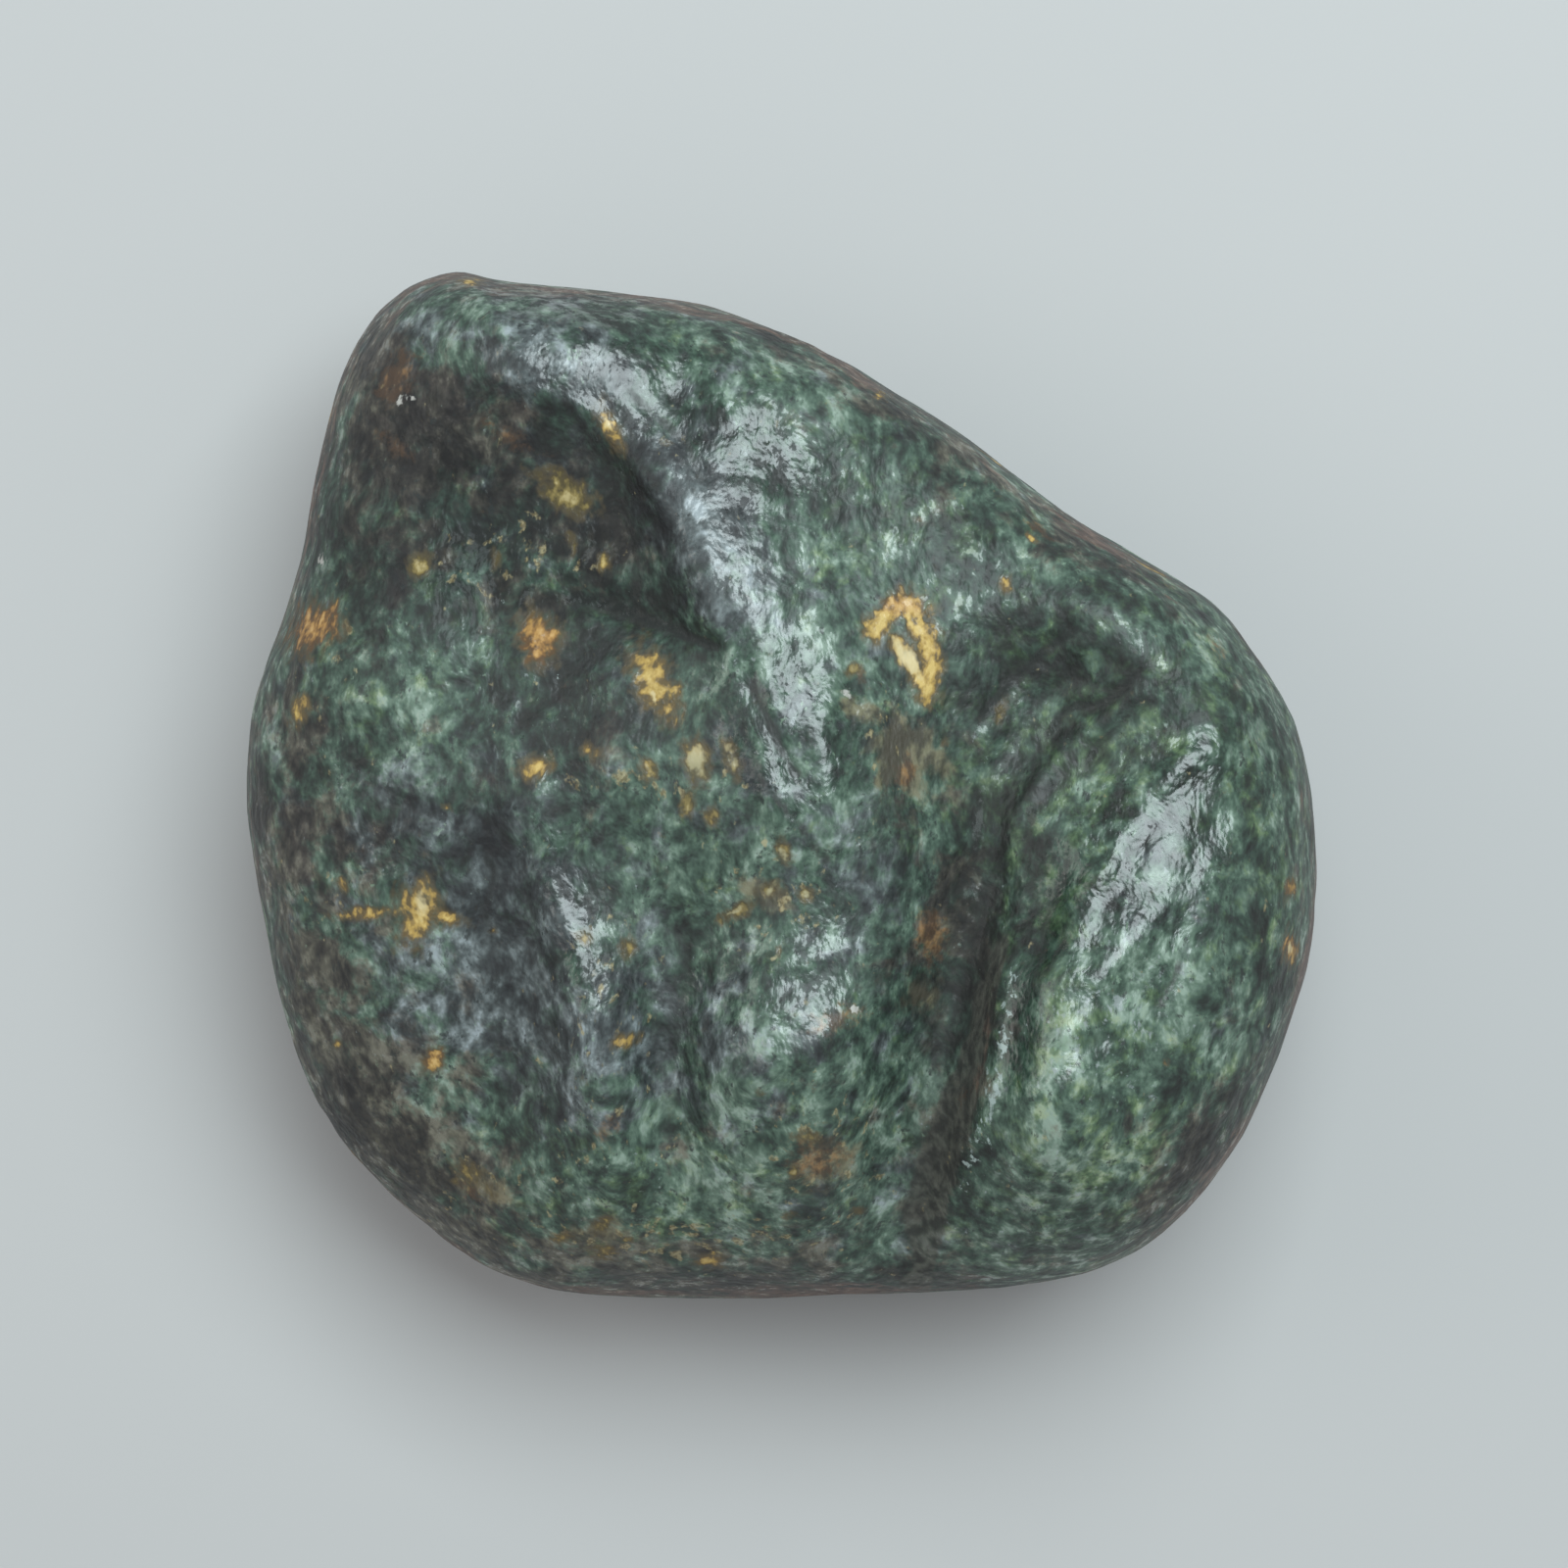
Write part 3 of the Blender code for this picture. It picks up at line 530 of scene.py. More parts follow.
# Broad tone, lighter (+) and darker (-) ground: partly the stone's own tone, partly painted shade on the walls, basin
# and fold sides and painted highlight on the crests.
TONE_AND_PAINTED_LIGHT = [
    (-1.0, 655, 525, 62, 115, 35), (-0.8, 500, 480, 140, 100, 0), (-0.35, 680, 625, 70, 40, 0),
    (-0.30, 540, 870, 60, 90, 20), (-0.35, 520, 1030, 50, 110, 10), (-0.20, 690, 1080, 40, 80, -10),
    (-0.35, 1000, 920, 50, 140, -4), (-0.35, 985, 1110, 30, 150, -13), (-0.25, 1065, 660, 70, 60, 0),
    (0.20, 430, 680, 50, 80, 10), (-0.40, 600, 745, 110, 90, 0), (-1.0, 530, 590, 140, 44, -6),  (-0.3, 1290, 1060, 40, 90, -20), (0.05, 790, 700, 80, 160, 20), (1.0, 716, 530, 24, 95, 24),
    (-0.55, 1062, 868, 42, 90, 12), (0.4, 1140, 1060, 48, 90, -30),
    (0.7, 728, 395, 50, 34, -20), (-0.45, 800, 496, 46, 40, 20), (0.7, 688, 490, 22, 56, 25),
    (-0.55, 985, 540, 60, 46, -30), (-0.8, 486, 662, 30, 34, 0), (-0.35, 536, 712, 32, 34, 0),
    (0.45, 872, 776, 30, 50, 0), (-0.45, 990, 758, 40, 34, 0), (-0.55, 1206, 705, 36, 62, 0),
    (0.9, 1262, 806, 20, 54, -15), (0.6, 1162, 812, 30, 32, 0), (-0.5, 606, 896, 32, 60, 10),
    (0.6, 590, 1012, 20, 58, 8), (-0.45, 848, 950, 44, 30, 0), (0.8, 1160, 1002, 34, 50, -30),
    (0.55, 820, 1100, 84, 32, 10), (-0.5, 680, 1145, 42, 40, 0), (0.5, 925, 1140, 40, 30, 0),
    (0.5, 418, 1240, 70, 46, -42), (0.55, 1040, 1238, 50, 36, 0), (-0.35, 850, 1290, 110, 26, 0),
    (0.30, 600, 370, 90, 50, -20), (0.30, 760, 430, 70, 60, -30), (0.20, 1180, 950, 80, 190, -26), (0.7, 500, 345, 80, 40, -12), (0.35, 520, 990, 40, 90, 0), (0.3, 400, 1030, 90, 80, 0), (0.25, 730, 1235, 130, 60, 0), (0.1, 1290, 980, 40, 100, 0), (-0.2, 1110, 1210, 90, 60, 0), (-0.25, 1045, 930, 50, 90, 0), (-0.25, 430, 1180, 110, 60, -42), (-0.6, 520, 600, 110, 50, 0), (-0.35, 590, 760, 90, 80, 0), (-0.5, 400, 385, 60, 70, 30), (-0.5, 1050, 685, 80, 22, 42), (0.5, 1030, 765, 95, 12, 46), (-0.6, 1074, 770, 100, 12, 48), (0.55, 1116, 782, 100, 12, 50), (-0.45, 1150, 806, 90, 11, 52), (-0.5, 980, 702, 85, 13, 40), (0.4, 1010, 670, 60, 10, 40), (0.25, 1125, 1045, 60, 90, -30), (-0.2, 1218, 1202, 66, 40, 42),
    (0.25, 790, 1040, 90, 80, 0), (0.40, 660, 1210, 160, 70, 0), (0.25, 400, 1040, 90, 80, 0), (0.35, 690, 1030, 50, 80, 0), (0.35, 930, 880, 60, 90, 0), (-0.3, 1090, 700, 90, 60, 0), (-0.3, 1050, 930, 50, 80, -10), (0.25, 1060, 1220, 90, 80, 0),
    (0.20, 880, 560, 90, 60, 0), (0.20, 360, 930, 80, 60, 0), (0.15, 900, 1230, 120, 60, 0),
    (0.20, 740, 880, 70, 60, 30), (-0.25, 900, 1010, 60, 60, 0), (-0.2, 700, 1280, 200, 40, 0),
]
# Paler flecked mineral, partly a painted sheen where the crests catch the light; the negative entries paint shade in
# the basin and on slopes.
PALE_AND_PAINTED_SHEEN = [
    (1.4, 1120, 1045, 60, 100, -30), (0.7, 1180, 880, 60, 90, -25), (0.8, 790, 1035, 80, 60, -20),
    (0.8, 795, 720, 60, 80, 5), (0.7, 570, 350, 90, 45, -20), (0.7, 728, 395, 50, 34, -25), (0.6, 585, 1000, 26, 110, 8),
    (0.6, 925, 1145, 60, 30, 0), (0.5, 760, 440, 70, 40, -30), (0.5, 1040, 1200, 50, 60, 0),
    (0.5, 744, 898, 16, 14, 0), (0.4, 640, 1210, 90, 50, 0), (0.5, 985, 1150, 20, 60, -10),
    (0.4, 1110, 1230, 60, 40, 0), (0.35, 450, 690, 40, 70, 0), (0.4, 860, 560, 60, 40, 0),
    (-0.6, 480, 480, 140, 100, 0), (-0.5, 640, 560, 50, 90, 30), (-0.5, 520, 900, 40, 120, 10),
    (-0.4, 1050, 900, 40, 90, -10), (-0.5, 950, 900, 50, 160, 0), (-0.4, 620, 740, 90, 60, 0),
    (-1.2, 530, 590, 130, 50, -6), (-0.8, 1080, 700, 90, 60, 0),
]
# Green (+) or grey-violet (-) ground; the grey-violet on the ridge, the knob and the lobe also paints the tint of their
# sheen.
HUE = [
    (0.7, 1100, 760, 170, 150, 30), (0.45, 1060, 980, 70, 170, 10), (0.3, 1110, 1215, 90, 60, 0), (0.4, 1300, 900, 40, 120, 0), (-0.5, 450, 1010, 90, 80, 0), (-0.4, 680, 1030, 60, 90, 0), (-0.6, 520, 1000, 40, 90, 0), (-0.4, 1170, 890, 60, 90, -20), (0.5, 900, 520, 90, 60, 0),
    (0.4, 1180, 1130, 90, 90, 0), (-1.0, 722, 540, 50, 95, 22), (-0.8, 570, 375, 100, 55, -15), (-0.4, 400, 360, 60, 60, 0),
    (-0.5, 1040, 430, 60, 40, -30), (-0.6, 520, 900, 60, 120, 15), (-0.4, 380, 850, 80, 60, 0),
    (0.4, 650, 640, 80, 30, 0), (0.4, 640, 1230, 120, 60, 0), (-0.4, 820, 800, 60, 110, 15),
    (-0.5, 590, 1080, 60, 80, 0), (0.3, 450, 650, 90, 90, 0), (-0.3, 900, 930, 70, 90, 0),
    (-0.3, 760, 1080, 80, 70, 0),
]
# Brown-violet ground.
UMBER = [
    (1.0, 430, 440, 90, 60, 20), (0.8, 380, 370, 50, 80, 30), (0.9, 560, 490, 90, 60, -30), (0.8, 400, 540, 60, 60, 0),
    (0.7, 640, 560, 60, 50, 0), (0.5, 560, 620, 90, 30, 0), (0.6, 930, 770, 80, 50, 90),
    (0.5, 940, 960, 50, 90, 0), (0.6, 985, 890, 36, 120, -4), (0.5, 960, 440, 120, 30, -35), (0.8, 980, 1120, 36, 150, -13), (0.4, 380, 850, 70, 50, 0),
    (0.4, 1100, 560, 90, 30, -30), (0.4, 700, 1290, 200, 30, 0), (0.8, 1230, 1180, 50, 110, -35), (0.8, 330, 1000, 70, 190, 18), (0.9, 430, 1170, 120, 80, -42), (0.5, 300, 760, 50, 120, 0), (0.5, 620, 1290, 200, 40, -6), (0.4, 620, 760, 90, 60, 0), (0.5, 700, 1140, 60, 60, 0),
    (-0.8, 760, 700, 90, 200, 15), (-0.6, 716, 530, 30, 95, 24), (-0.6, 1170, 950, 80, 180, -26), (-0.6, 1080, 760, 120, 100, 0),
    (-0.6, 640, 1000, 80, 150, 10), (-0.6, 620, 360, 90, 50, -20),
]
# Ground freckled with ochre.
FRECKLED = [
    (1.0, 785, 915, 70, 50, -30), (0.75, 610, 1000, 50, 120, 10), (0.6, 590, 1160, 60, 60, 0), (0.8, 840, 1180, 90, 90, 0), (0.8, 490, 1205, 60, 30, 0),
    (1.0, 640, 1265, 120, 26, 0), (0.8, 545, 560, 90, 30, -10), (0.8, 690, 800, 80, 30, 0),
    (0.7, 330, 920, 60, 40, 0), (0.6, 700, 460, 30, 30, 0), (0.7, 330, 680, 30, 80, 0),
    (0.6, 900, 760, 40, 60, 0), (0.5, 620, 780, 60, 30, 0), (0.6, 1310, 940, 16, 60, 0),
    (0.4, 1100, 700, 60, 40, 0), (0.5, 760, 1260, 90, 30, 0), (0.6, 470, 600, 60, 40, 0),
]
# Stain along the rim.
RIM_STAIN = [
    (0.6, 720, 1310, 240, 50, 0), (0.7, 1210, 1220, 130, 70, 40), (0.5, 1320, 1000, 60, 130, 0),
    (0.4, 300, 980, 60, 160, 0), (0.3, 360, 360, 60, 90, 0),
]
# Places worn to a polish (+) or left dull (-).
POLISH = [
    (-1.0, 480, 480, 120, 90, 0), (-0.9, 640, 560, 50, 90, 30), (-1.0, 540, 595, 130, 44, -8), (-0.9, 985, 900, 34, 130, -4),
    (1.0, 728, 395, 56, 36, -25), (-0.7, 985, 540, 55, 40, -30), (-0.6, 1204, 728, 28, 40, 0),
    (0.9, 800, 822, 72, 13, -50), (0.9, 1128, 960, 52, 120, -28), (1.0, 1240, 800, 30, 62, -35), (0.9, 1200, 783, 85, 20, 36), (1.2, 1172, 885, 84, 100, -20), (1.3, 1112, 1040, 66, 110, -30),
    (0.8, 1062, 1130, 30, 60, -20), (0.9, 735, 540, 56, 110, 20), (1.05, 808, 740, 68, 105, 10),
    (0.6, 835, 850, 44, 120, 5), (1.3, 590, 375, 105, 60, -25), (0.9, 762, 430, 85, 32, -35),
    (1.0, 585, 965, 30, 140, 10), (0.9, 790, 1040, 90, 72, -20), (1.0, 1024, 1070, 12, 62, -10), (-1.2, 985, 1110, 18, 130, -13),
    (0.5, 950, 560, 60, 30, -30), (0.4, 640, 640, 60, 30, -10), (0.4, 430, 690, 40, 60, 0),
    (0.4, 700, 1210, 90, 40, 0), (0.4, 1070, 1230, 60, 50, 0), (0.3, 370, 900, 50, 60, 0),
]


def spots(x, y, table, soft=1.0):
    """Field that is 1 at a spot's middle and 0 at its edge, negative outside."""
    out = np.full(x.shape, -1.0)
    for u, v, half, width, turn, strength in table:
        cx, cy = plan(u, v)
        a = math.radians(turn)
        dx, dy = x - cx, y - cy
        lx = (dx * math.cos(a) + dy * math.sin(a)) / (half * GRID)
        ly = (-dx * math.sin(a) + dy * math.cos(a)) / (width * GRID)
        r = np.sqrt(lx * lx + ly * ly)
        out = np.maximum(out, np.clip(1.0 - r, -1.0, 1.0) * soft + (strength - 1.0) * 0.6)
    return np.clip(out, -1.0, 1.0)


def strokes(x, y, lines):
    out = np.full(x.shape, -1.0)
    for line, width in lines:
        q = spline([plan(u, v) for u, v in line], False, 6)
        best = np.full(x.shape, 1e9)
        for p0, p1 in zip(q[:-1], q[1:]):
            d = p1 - p0
            s = np.clip(((x - p0[0]) * d[0] + (y - p0[1]) * d[1]) / (d @ d), 0.0, 1.0)
            best = np.minimum(best, np.hypot(x - p0[0] - s * d[0], y - p0[1] - s * d[1]))
        out = np.maximum(out, 1.0 - best / (width * GRID))
    return np.clip(out, -1.0, 1.0)


def patches(x, y, table):
    out = np.zeros(x.shape)
    for value, u, v, half, width, turn in table:
        out += value * blob(x, y, (u, v), (half, width), turn, 2.0)
    return out


# ------------------------------------------------------------- the stone
def build_stone():
    cube, quads = cube_sphere(CELLS)
    p, info = stone(np.tan(cube * math.pi / 4.0))
    edges = edges_of(quads)
    n = vertex_normals(p, quads)
    ground = smooth((p[:, 2] - 0.4) / 3.0)              # the patch stays flat
    rim = 1.0 - 0.6 * np.exp(-((info["psi"] - math.pi / 2) / 0.25) ** 2)
    swell = (0.38 * lattice_noise(p / 9.0 + 1.7, 21)
             + 0.22 * lattice_noise(p / 4.6 + 4.2, 22)
             + 0.09 * lattice_noise(p / 2.3 + 8.8, 23))
    skin = crests(info["x"], info["y"]) - 0.55 * furrows(info["x"], info["y"], 1.3)
    d = swell * ground * rim + skin * info["up"] * (1.0 - info["rho"] ** 6)
    q = p + n * d[:, None]
    q[:, 2] = np.maximum(q[:, 2], 0.0)
    q[:, 0] += SHIFT_X
    q[:, 1] += SHIFT_Y

    # Hollows and nicks, measured against smoothed copies, for the painted shade in them.
    wide = relaxed(q, edges, 60)
    tight = relaxed(q, edges, 6)
    n2 = vertex_normals(q, quads)
    hollow = np.sum((wide - q) * n2, axis=1)
    nick = np.sum((tight - q) * n2, axis=1)

    # Layout position of each finished vertex, for the markings.
    k = (VIEW_HEIGHT - GIRTH_Z) / (VIEW_HEIGHT - q[:, 2])
    x, y = (q[:, 0] - SHIFT_X) * k, (q[:, 1] - SHIFT_Y) * k
    top = smooth((n2[:, 2] + 0.05) / 0.25) * np.where(q[:, 2] > 20.0, 1.0, 0.0)
    top = relaxed(top, edges, 2)
    ochre = np.maximum.reduce([spots(x, y, OCHRE), strokes(x, y, HOOK)])
    ochre = np.where(top > 0.02, ochre * np.maximum(top, 0.0) - (1.0 - top), -1.0)
    # Spots of the hidden sides.
    rng = np.random.RandomState(5)
    for _ in range(46):
        i = rng.randint(len(q))
        if q[i, 2] < 3.0 or n2[i, 2] > 0.25:
            continue
        size = rng.uniform(1.0, 3.6)
        dist = np.linalg.norm((q - q[i]) * np.array([1.0, 1.0, rng.uniform(0.7, 1.5)]), axis=1)
        ochre = np.maximum(ochre, np.clip(1.0 - dist / size, -1.0, 1.0) - rng.uniform(0.0, 0.35))
    pale_in = spots(x, y, PALE_IN) * top - (1.0 - top)
    white = np.maximum(spots(x, y, WHITE), -1.0) * top - (1.0 - top)
    brown = np.clip(spots(x, y, BROWN, 1.0) * top + 0.0, 0.0, 1.0)
    clouds = lattice_noise(p / 19.0 + 5.1, 31) + 0.7 * lattice_noise(p / 8.0 + 2.3, 32)
    veils = lattice_noise(p / 16.0 + 8.3, 33) + 0.6 * lattice_noise(p / 7.0 + 1.9, 34)
    margin = smooth((info["rho"] - 0.86) / 0.14) * info["up"] * np.clip(0.5 + 0.6 * clouds, 0.0, 1.0)
    # Tone with its painted light and shade, darker towards the rim of the upper face.
    tone_and_painted_light = patches(x, y, TONE_AND_PAINTED_LIGHT) - 0.35 * margin
    tone_and_painted_light = np.maximum(tone_and_painted_light * top + (0.7 * veils - 0.2) * (1.0 - top), -0.95)
    hue = patches(x, y, HUE) * top + 0.7 * veils * (1.0 - top)
    polish = patches(x, y, POLISH) * top + 0.15 * (1.0 - top)
    away = signed(x, y, GROOVE_EDGE)
    broad = np.interp(-y, [16.0, 30.0, 46.0, 56.0, 70.0], [1.6, 4.6, 6.6, 7.4, 5.2])
    broad = broad + 1.6 * lattice_noise(p / 5.5 + 6.6, 41)
    trench = (smooth((away + 0.3) / 1.0) * smooth((broad - away) / 2.2)
              * smooth((-15.0 - y) / 10.0) * top)
    # Paler lip along the groove's edge, partly a painted highlight.
    lip_and_highlight = np.exp(-((away + 1.6) / 1.5) ** 2) * blob(x, y, (1010, 1100), (40, 130), -10, 4.0) * top
    umber = (patches(x, y, UMBER) + 0.5 * margin) * top + (0.9 * clouds + 0.1) * (1.0 - top)
    olive = spots(x, y, OLIVE, 1.0) * top - (1.0 - top)
    aged = patches(x, y, AGED) * top + 0.5 * veils * (1.0 - top)
    sleek = np.clip(patches(x, y, SLEEK) * top, 0.0, 1.0)
    # Painted sheen: more pale dashes on the crests, fewer towards the rim.
    pale_and_painted_sheen = (patches(x, y, PALE_AND_PAINTED_SHEEN) - 0.8 * margin) * top
    # Painted shade along the furrows.
    furrow_shade = furrows(x, y, 0.9) * top
    freckled = patches(x, y, FRECKLED) * top + 0.35 * (1.0 - top)
    edge = np.exp(-((n2[:, 2] - 0.06) / 0.32) ** 2)
    rind = edge * (0.12 + 0.9 * clouds) + np.clip(clouds - 0.10, 0.0, 1.0) * 1.3 * smooth((0.15 - n2[:, 2]) / 0.3)
    rind += edge * patches(x, y, RIM_STAIN) * 0.5
    tilt = n2[:, 2] + 0.10 * lattice_noise(p / 5.0 + 9.4, 42)
    ring = smooth((0.34 - tilt) / 0.20) * smooth((tilt + 0.75) / 0.6)
    ring = ring * np.clip(0.05 + 1.1 * clouds, 0.0, 1.0)
    ring = np.maximum(ring, smooth((0.44 - tilt) / 0.18) * smooth((tilt + 0.05) / 0.18)
                      * np.clip(0.50 + 0.5 * clouds + 0.35 * patches(x, y, RIM_STAIN), 0.0, 0.85))
    rind = np.clip(rind, 0.0, 1.0) * smooth((q[:, 2] - 0.6) / 3.0)
    dull = np.clip(-polish, 0.0, 1.0) + 0.9 * edge + 0.9 * trench

    mesh = bpy.data.meshes.new("jade_stone")
    mesh.from_pydata((q * MM).tolist(), [], quads.tolist())
    mesh.update()
    mesh.shade_smooth()
    for name, values in (("ochre", ochre), ("pale_in", pale_in), ("white", white),
                         ("brown", brown), ("olive", olive), ("aged", np.clip(aged, -1.0, 1.0)), ("sleek", sleek), ("tone_and_painted_light", tone_and_painted_light), ("hue", hue), ("rind", rind),
                         ("polish", np.clip(polish, 0.0, 1.2)), ("umber", umber),
                         ("freckled", np.clip(freckled, 0.0, 1.0)),
                         ("dull", np.clip(dull, 0.0, 1.0)), ("trench", trench), ("lip_and_highlight", lip_and_highlight), ("pale_and_painted_sheen", pale_and_painted_sheen), ("ring", ring), ("furrow_shade", furrow_shade),
                         ("hollow", np.clip(hollow / 1.6, -1.0, 1.0)),
                         ("nick", np.clip(nick / 0.18, -1.0, 1.0))):
        attr = mesh.attributes.new(name, 'FLOAT', 'POINT')
        attr.data.foreach_set("value", np.ascontiguousarray(values, dtype=np.float32))
    ob = bpy.data.objects.new("jade_stone", mesh)
    bpy.context.scene.collection.objects.link(ob)
    return ob


# ------------------------------------------------------------- material
class Nodes:
    """Small helper for building a node tree in code."""

    def __init__(self, mat):
        self.tree = mat.node_tree
        self.tree.nodes.clear()

    def new(self, kind, **settings):
        node = self.tree.nodes.new(kind)
        for key, value in settings.items():
            setattr(node, key, value)
        return node

    def put(self, socket, value):
        if hasattr(value, "is_output"):
            self.tree.links.new(value, socket)
        elif value is not None:
            socket.default_value = value

    def attr(self, name):
        return self.new("ShaderNodeAttribute", attribute_name=name).outputs["Fac"]

    def math(self, op, a, b=None, c=None, clamp=False):
        node = self.new("ShaderNodeMath", operation=op, use_clamp=clamp)
        for i, v in enumerate((a, b, c)):
            if v is not None:
                self.put(node.inputs[i], v)
        return node.outputs[0]

    def vmath(self, op, a, b=None, scale=None):
        node = self.new("ShaderNodeVectorMath", operation=op)
        self.put(node.inputs[0], a)
        if b is not None:
            self.put(node.inputs[1], b)
        if scale is not None:
            self.put(node.inputs["Scale"], scale)
        return node.outputs["Value"] if op in ("DOT_PRODUCT", "LENGTH", "DISTANCE") else node.outputs[0]

    def ramp(self, value, low, high, to_low=0.0, to_high=1.0, smooth_step=True):
        node = self.new("ShaderNodeMapRange", clamp=True,
                        interpolation_type='SMOOTHSTEP' if smooth_step else 'LINEAR')
        self.put(node.inputs["Value"], value)
        node.inputs["From Min"].default_value = low
        node.inputs["From Max"].default_value = high
        node.inputs["To Min"].default_value = to_low
        node.inputs["To Max"].default_value = to_high
        return node.outputs["Result"]

    def mix(self, fac, a, b, blend='MIX'):
        node = self.new("ShaderNodeMix", data_type='RGBA', blend_type=blend, clamp_factor=True)
        self.put(node.inputs[0], fac)
        self.put(node.inputs[6], a)
        self.put(node.inputs[7], b)
        return node.outputs[2]

    def mapping(self, vector, scale, rotation=(0, 0, 0), location=(0, 0, 0)):
        node = self.new("ShaderNodeMapping")
        self.put(node.inputs["Vector"], vector)
        node.inputs["Scale"].default_value = scale
        node.inputs["Rotation"].default_value = rotation
        node.inputs["Location"].default_value = location
        return node.outputs[0]

    def noise(self, vector, scale, detail=3.0, rough=0.55, distort=0.0, colour=False, lac=2.0):
        node = self.new("ShaderNodeTexNoise", noise_dimensions='3D')
        self.put(node.inputs["Vector"], vector)
        node.inputs["Scale"].default_value = scale
        node.inputs["Detail"].default_value = detail
        node.inputs["Roughness"].default_value = rough
        node.inputs["Lacunarity"].default_value = lac
        node.inputs["Distortion"].default_value = distort
        return node.outputs["Color" if colour else "Fac"]

    def stops(self, value, colours):
        node = self.new("ShaderNodeValToRGB")
        ramp = node.color_ramp
        while len(ramp.elements) > 1:
            ramp.elements.remove(ramp.elements[-1])
        for i, (at, colour) in enumerate(colours):
            e = ramp.elements[0] if i == 0 else ramp.elements.new(at)
            e.position = at
            e.color = (*colour, 1.0)
        self.put(node.inputs["Fac"], value)
        return node.outputs["Color"]


def rgb(r, g, b):
    return (r, g, b, 1.0)


def jade_material():
    mat = bpy.data.materials.new("jade_skin_wet")
    mat.use_nodes = True
    t = Nodes(mat)
    out = t.new("ShaderNodeOutputMaterial")
    bsdf = t.new("ShaderNodeBsdfPrincipled")
    t.tree.links.new(bsdf.outputs[0], out.inputs["Surface"])

    # Object coordinates in mm.
    coord = t.vmath('SCALE', t.new("ShaderNodeTexCoord").outputs["Object"], scale=1000.0)
    # Domain warp keeps every pattern from looking like a lattice.
    warp = t.vmath('SUBTRACT', t.noise(coord, 0.12, 1.0, 0.5, colour=True), (0.5, 0.5, 0.5))
    warped = t.vmath('ADD', coord, t.vmath('SCALE', warp, scale=3.0))

    # Short fibres: slightly stretched noise.
    flow = t.mapping(warped, (1.0, 0.72, 1.0), (0, 0, math.radians(10)))

    def shifted(a, b, c, vector=flow):
        return t.vmath('ADD', vector, (a, b, c))

    big = t.noise(warped, 0.060, 2.0, 0.5)                  # 17 mm clouds
    mid = t.noise(flow, 0.24, 3.0, 0.55)                    # 4 mm mottles
    fine = t.noise(flow, 0.62, 2.5, 0.52)                   # 1-2 mm mottles
    grain = t.noise(flow, 2.2, 1.5, 0.5)                    # sub-millimetre fibres
    tone_and_painted_light, hue, hollow, nick = t.attr("tone_and_painted_light"), t.attr("hue"), t.attr("hollow"), t.attr("nick")

    def part(value, gain):
        return t.math('MULTIPLY', t.math('SUBTRACT', value, 0.5), gain)

    # Lightness of the ground, about 0.5 with a wide spread.
    level = t.math('ADD', t.math('ADD', part(big, 1.05), part(mid, 1.32)),
                   t.math('ADD', part(fine, 1.25), part(grain, 0.28)))
    # The painted light and shade of the tone table go into the lightness here.
    level = t.math('ADD', level, t.math('MULTIPLY', tone_and_painted_light, 0.30))
    # Painted shade: the ground is darker in hollows.
    level = t.math('SUBTRACT', level, t.math('MULTIPLY', hollow, 0.06))
    level = t.math('ADD', level, 0.47)

    green = t.stops(level, [(0.0, (0.002, 0.005, 0.003)), (0.20, (0.009, 0.020, 0.014)), (0.40, (0.026, 0.053, 0.037)),
                            (0.55, (0.055, 0.099, 0.070)), (0.72, (0.108, 0.170, 0.124)),
                            (0.92, (0.250, 0.335, 0.270))])
    cool = t.stops(level, [(0.0, (0.003, 0.004, 0.006)), (0.20, (0.011, 0.014, 0.017)), (0.40, (0.034, 0.040, 0.044)),
                           (0.56, (0.074, 0.086, 0.092)), (0.74, (0.160, 0.182, 0.192)),
                           (0.92, (0.300, 0.340, 0.370))])
    moss = t.stops(level, [(0.0, (0.003, 0.006, 0.003)), (0.20, (0.010, 0.022, 0.009)), (0.40, (0.030, 0.060, 0.024)),
                           (0.55, (0.070, 0.122, 0.050)), (0.72, (0.145, 0.212, 0.092)),
                           (0.92, (0.310, 0.380, 0.220))])
    umber = t.stops(level, [(0.0, (0.003, 0.002, 0.002)), (0.20, (0.014, 0.011, 0.009)), (0.42, (0.042, 0.033, 0.026)),
                            (0.58, (0.080, 0.067, 0.050)), (0.80, (0.155, 0.134, 0.100))])

    # Which of them shows where.
    m_cool = t.math('SUBTRACT', part(t.noise(shifted(9, 41, 13, warped), 0.18, 4.0, 0.65), 4.2),
                    t.math('MULTIPLY', hue, 1.3))
    m_moss = t.math('ADD', part(t.noise(shifted(57, 3, 29, warped), 0.24, 4.0, 0.65), 4.2),
                    t.math('MULTIPLY', hue, 0.80))
    m_umber = t.math('ADD', part(t.noise(shifted(77, 3, 5, warped), 0.16, 4.0, 0.65), 4.2),
                     t.math('MULTIPLY', t.attr("umber"), 1.0))
    ground = t.mix(t.ramp(m_cool, 0.05, 0.85, 0.0, 0.85), green, cool)
    ground = t.mix(t.ramp(m_moss, 0.15, 0.95, 0.0, 0.75), ground, moss)
    ground = t.mix(t.ramp(m_umber, 0.30, 1.05, 0.0, 0.85), ground, umber)

    # Pale dashes, bluish-white and mint, that follow the fibres: partly pale mineral, partly painted glints of the
    # light.
    dash = t.noise(shifted(31, 7, 3), 1.15, 3.0, 0.6)
    dash = t.math('ADD', part(dash, 1.0), t.math('MULTIPLY', part(mid, 1.0), 0.5))
